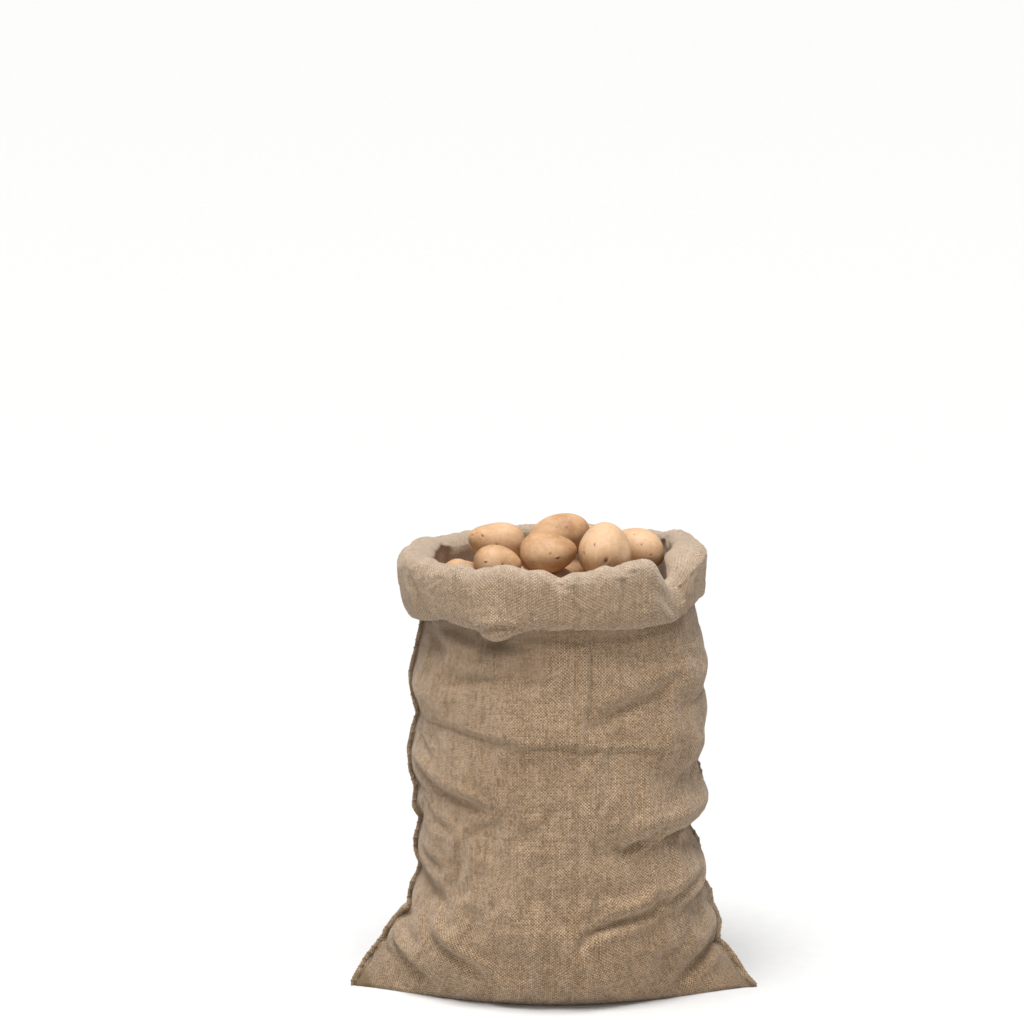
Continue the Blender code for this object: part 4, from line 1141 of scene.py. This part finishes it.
def potatoMaterial(name):
    p, shares = potatoSkin, potatoSkin["shares"]
    node, calc, mix, cover, ramp, noise, finish = startMaterial(
        name, Subsurface_Weight=0.08, Subsurface_Radius=(0.6, 0.3, 0.12), Subsurface_Scale=0.004,
        Specular_IOR_Level=0.32)
    place = node("TexCoord", {})["Object"]
    tone = node("Attribute", {}, attribute_name="tone")["Fac"]
    eye = node("Attribute", {}, attribute_name="eye")["Fac"]
    blotches = noise(place, p["blotchScale"], 4, 0.55)
    fine = noise(place, p["fineScale"], 4, 0.65)
    share, finer = calc("MULTIPLY", blotches, shares["blotches"]), calc("MULTIPLY", fine, shares["fine"])
    share = calc("ADD", share, finer)
    share = calc("MULTIPLY_ADD", calc("SUBTRACT", tone, 0.5), shares["tone"], share)
    colour = ramp(share, (0.30, p["brown"]), (0.47, p["tan"]), (0.70, p["pale"]))
    scurf = calc("MULTIPLY_ADD", noise(place, p["scurfScale"], 5, 0.7), *p["scurf"], clamp=True)
    colour = cover(colour, scurf, shares["scurf"], p["brown"])
    sockets = {"Vector": place, "Scale": p["speckScale"], "Randomness": 1.0}
    specks = node("TexVoronoi", sockets, feature="F1")["Distance"]
    dot = calc("SUBTRACT", 1.0, calc("MULTIPLY", specks, p["speckFine"]), clamp=True)
    colour = cover(colour, dot, shares["specks"], p["eye"])
    colour = cover(colour, eye, shares["eyes"], p["eye"], clamp=True)
    rough = calc("MULTIPLY_ADD", fine, *p["rough"])
    height = calc("ADD", calc("MULTIPLY", fine, 0.5), calc("MULTIPLY", noise(place, p["grainScale"], 2), 0.2))
    return finish(colour, rough, calc("SUBTRACT", height, calc("MULTIPLY", dot, 0.4)), p["relief"])


studioFloor = {"radius": 90, "dark": (0.625, 0.625, 0.62), "light": (0.645, 0.645, 0.64)}


def floorMaterial(name):
    node, calc, mix, cover, ramp, noise, finish = startMaterial(name, Specular_IOR_Level=0.2)
    place = node("TexCoord", {})["Object"]
    grain = noise(place, 40, 3)
    colour = ramp(grain, (0.3, studioFloor["dark"]), (0.7, studioFloor["light"]))
    return finish(colour, None, grain, 0.0002, 0.2)


hessian = hessianMaterial("hessian_weave")
yarn = yarnMaterial("seam_yarn_twist")
potatoFinish = potatoMaterial("potato_skin_tan")

seamPaths = {side: seamFrames(side) for side in ("left", "right")}
sack = makeSack(seamPaths)
sack.data.materials.append(hessian)
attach(sack, "root")
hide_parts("sack")

for side in ("left", "right"):
    welt, stitches = makeSeam(side, seamPaths[side])
    welt.data.materials.append(hessian)
    stitches.data.materials.append(yarn)
    for piece in (welt, stitches):
        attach(piece, "root")
    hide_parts(f"side_seam_{side}")

bed = makeBed()
bed.data.materials.append(potatoFinish)
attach(bed, "root")
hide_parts("potato_heap")
for node in sorted(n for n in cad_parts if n.startswith("potato_") and n != "potato_heap"):
    potato = makePotato(node)
    potato.data.materials.append(potatoFinish)
    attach(potato, "root")
    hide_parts(node)
print("potatoes made")

# Floor, light and camera
bm = bmesh.new()
bmesh.ops.create_circle(bm, cap_ends=True, segments=96, radius=studioFloor["radius"])
floor = meshObject("studio_floor", bm)
floor.data.materials.append(floorMaterial("pale_floor"))

studioSky = {"Color": (1.0, 1.0, 1.0, 1), "Strength": 0.32}
world = bpy.data.worlds.new("studio")
world.use_nodes = True
for socket, value in studioSky.items():
    world.node_tree.nodes["Background"].inputs[socket].default_value = value
bpy.context.scene.world = world
bpy.context.scene.view_settings.view_transform = "Standard"

# one broad soft light overhead that fades evenly over the floor, and two smaller ones
studioLights = {
    "overhead": {"kind": "SUN", "at": (-0.35, -1.05, 4.8), "size": math.radians(30), "power": 4.5},
    "front": {"kind": "AREA", "at": (0.9, -3.4, 1.7), "size": 1.6, "power": 7},
    "left": {"kind": "AREA", "at": (-1.9, -2.0, 1.9), "size": 1.2, "power": 5},
}
lightsAim = 0.35  # the sack's middle
for name, settings in studioLights.items():
    light = bpy.data.lights.new(name, settings["kind"])
    light.energy = settings["power"]
    if settings["kind"] == "SUN":
        light.angle = settings["size"]
    else:
        light.shape, light.size = "DISK", settings["size"]
    lamp = bpy.data.objects.new(name, light)
    lamp.location = settings["at"]
    lamp.rotation_euler = (Vector((0, 0, lightsAim)) - lamp.location).to_track_quat("-Z", "Y").to_euler()
    bpy.context.scene.collection.objects.link(lamp)

# the sack stands right of and below the middle of the photo's frame, so the camera looks past it
studioCamera = {
    "sackAt": (0, 0, 0.36),
    "away": 7.0,
    "elevation": 15.0,
    "focal": 4516 / 1024,  # in picture widths
    "lookPast": (-0.067, 0.380),  # right and up
}
data = bpy.data.cameras.new("camera")
data.sensor_width, data.lens = 36, 36 * studioCamera["focal"]
camera = bpy.data.objects.new("camera", data)
bpy.context.scene.collection.objects.link(camera)
tilt = math.radians(studioCamera["elevation"])
sackAt = Vector(studioCamera["sackAt"])
camera.location = sackAt + studioCamera["away"] * Vector((0, -math.cos(tilt), math.sin(tilt)))
pastRight, pastUp = studioCamera["lookPast"]
looksAt = sackAt + Vector((pastRight, pastUp * math.sin(tilt), pastUp * math.cos(tilt)))
camera.rotation_euler = (looksAt - camera.location).to_track_quat("-Z", "Y").to_euler()
bpy.context.scene.camera = camera
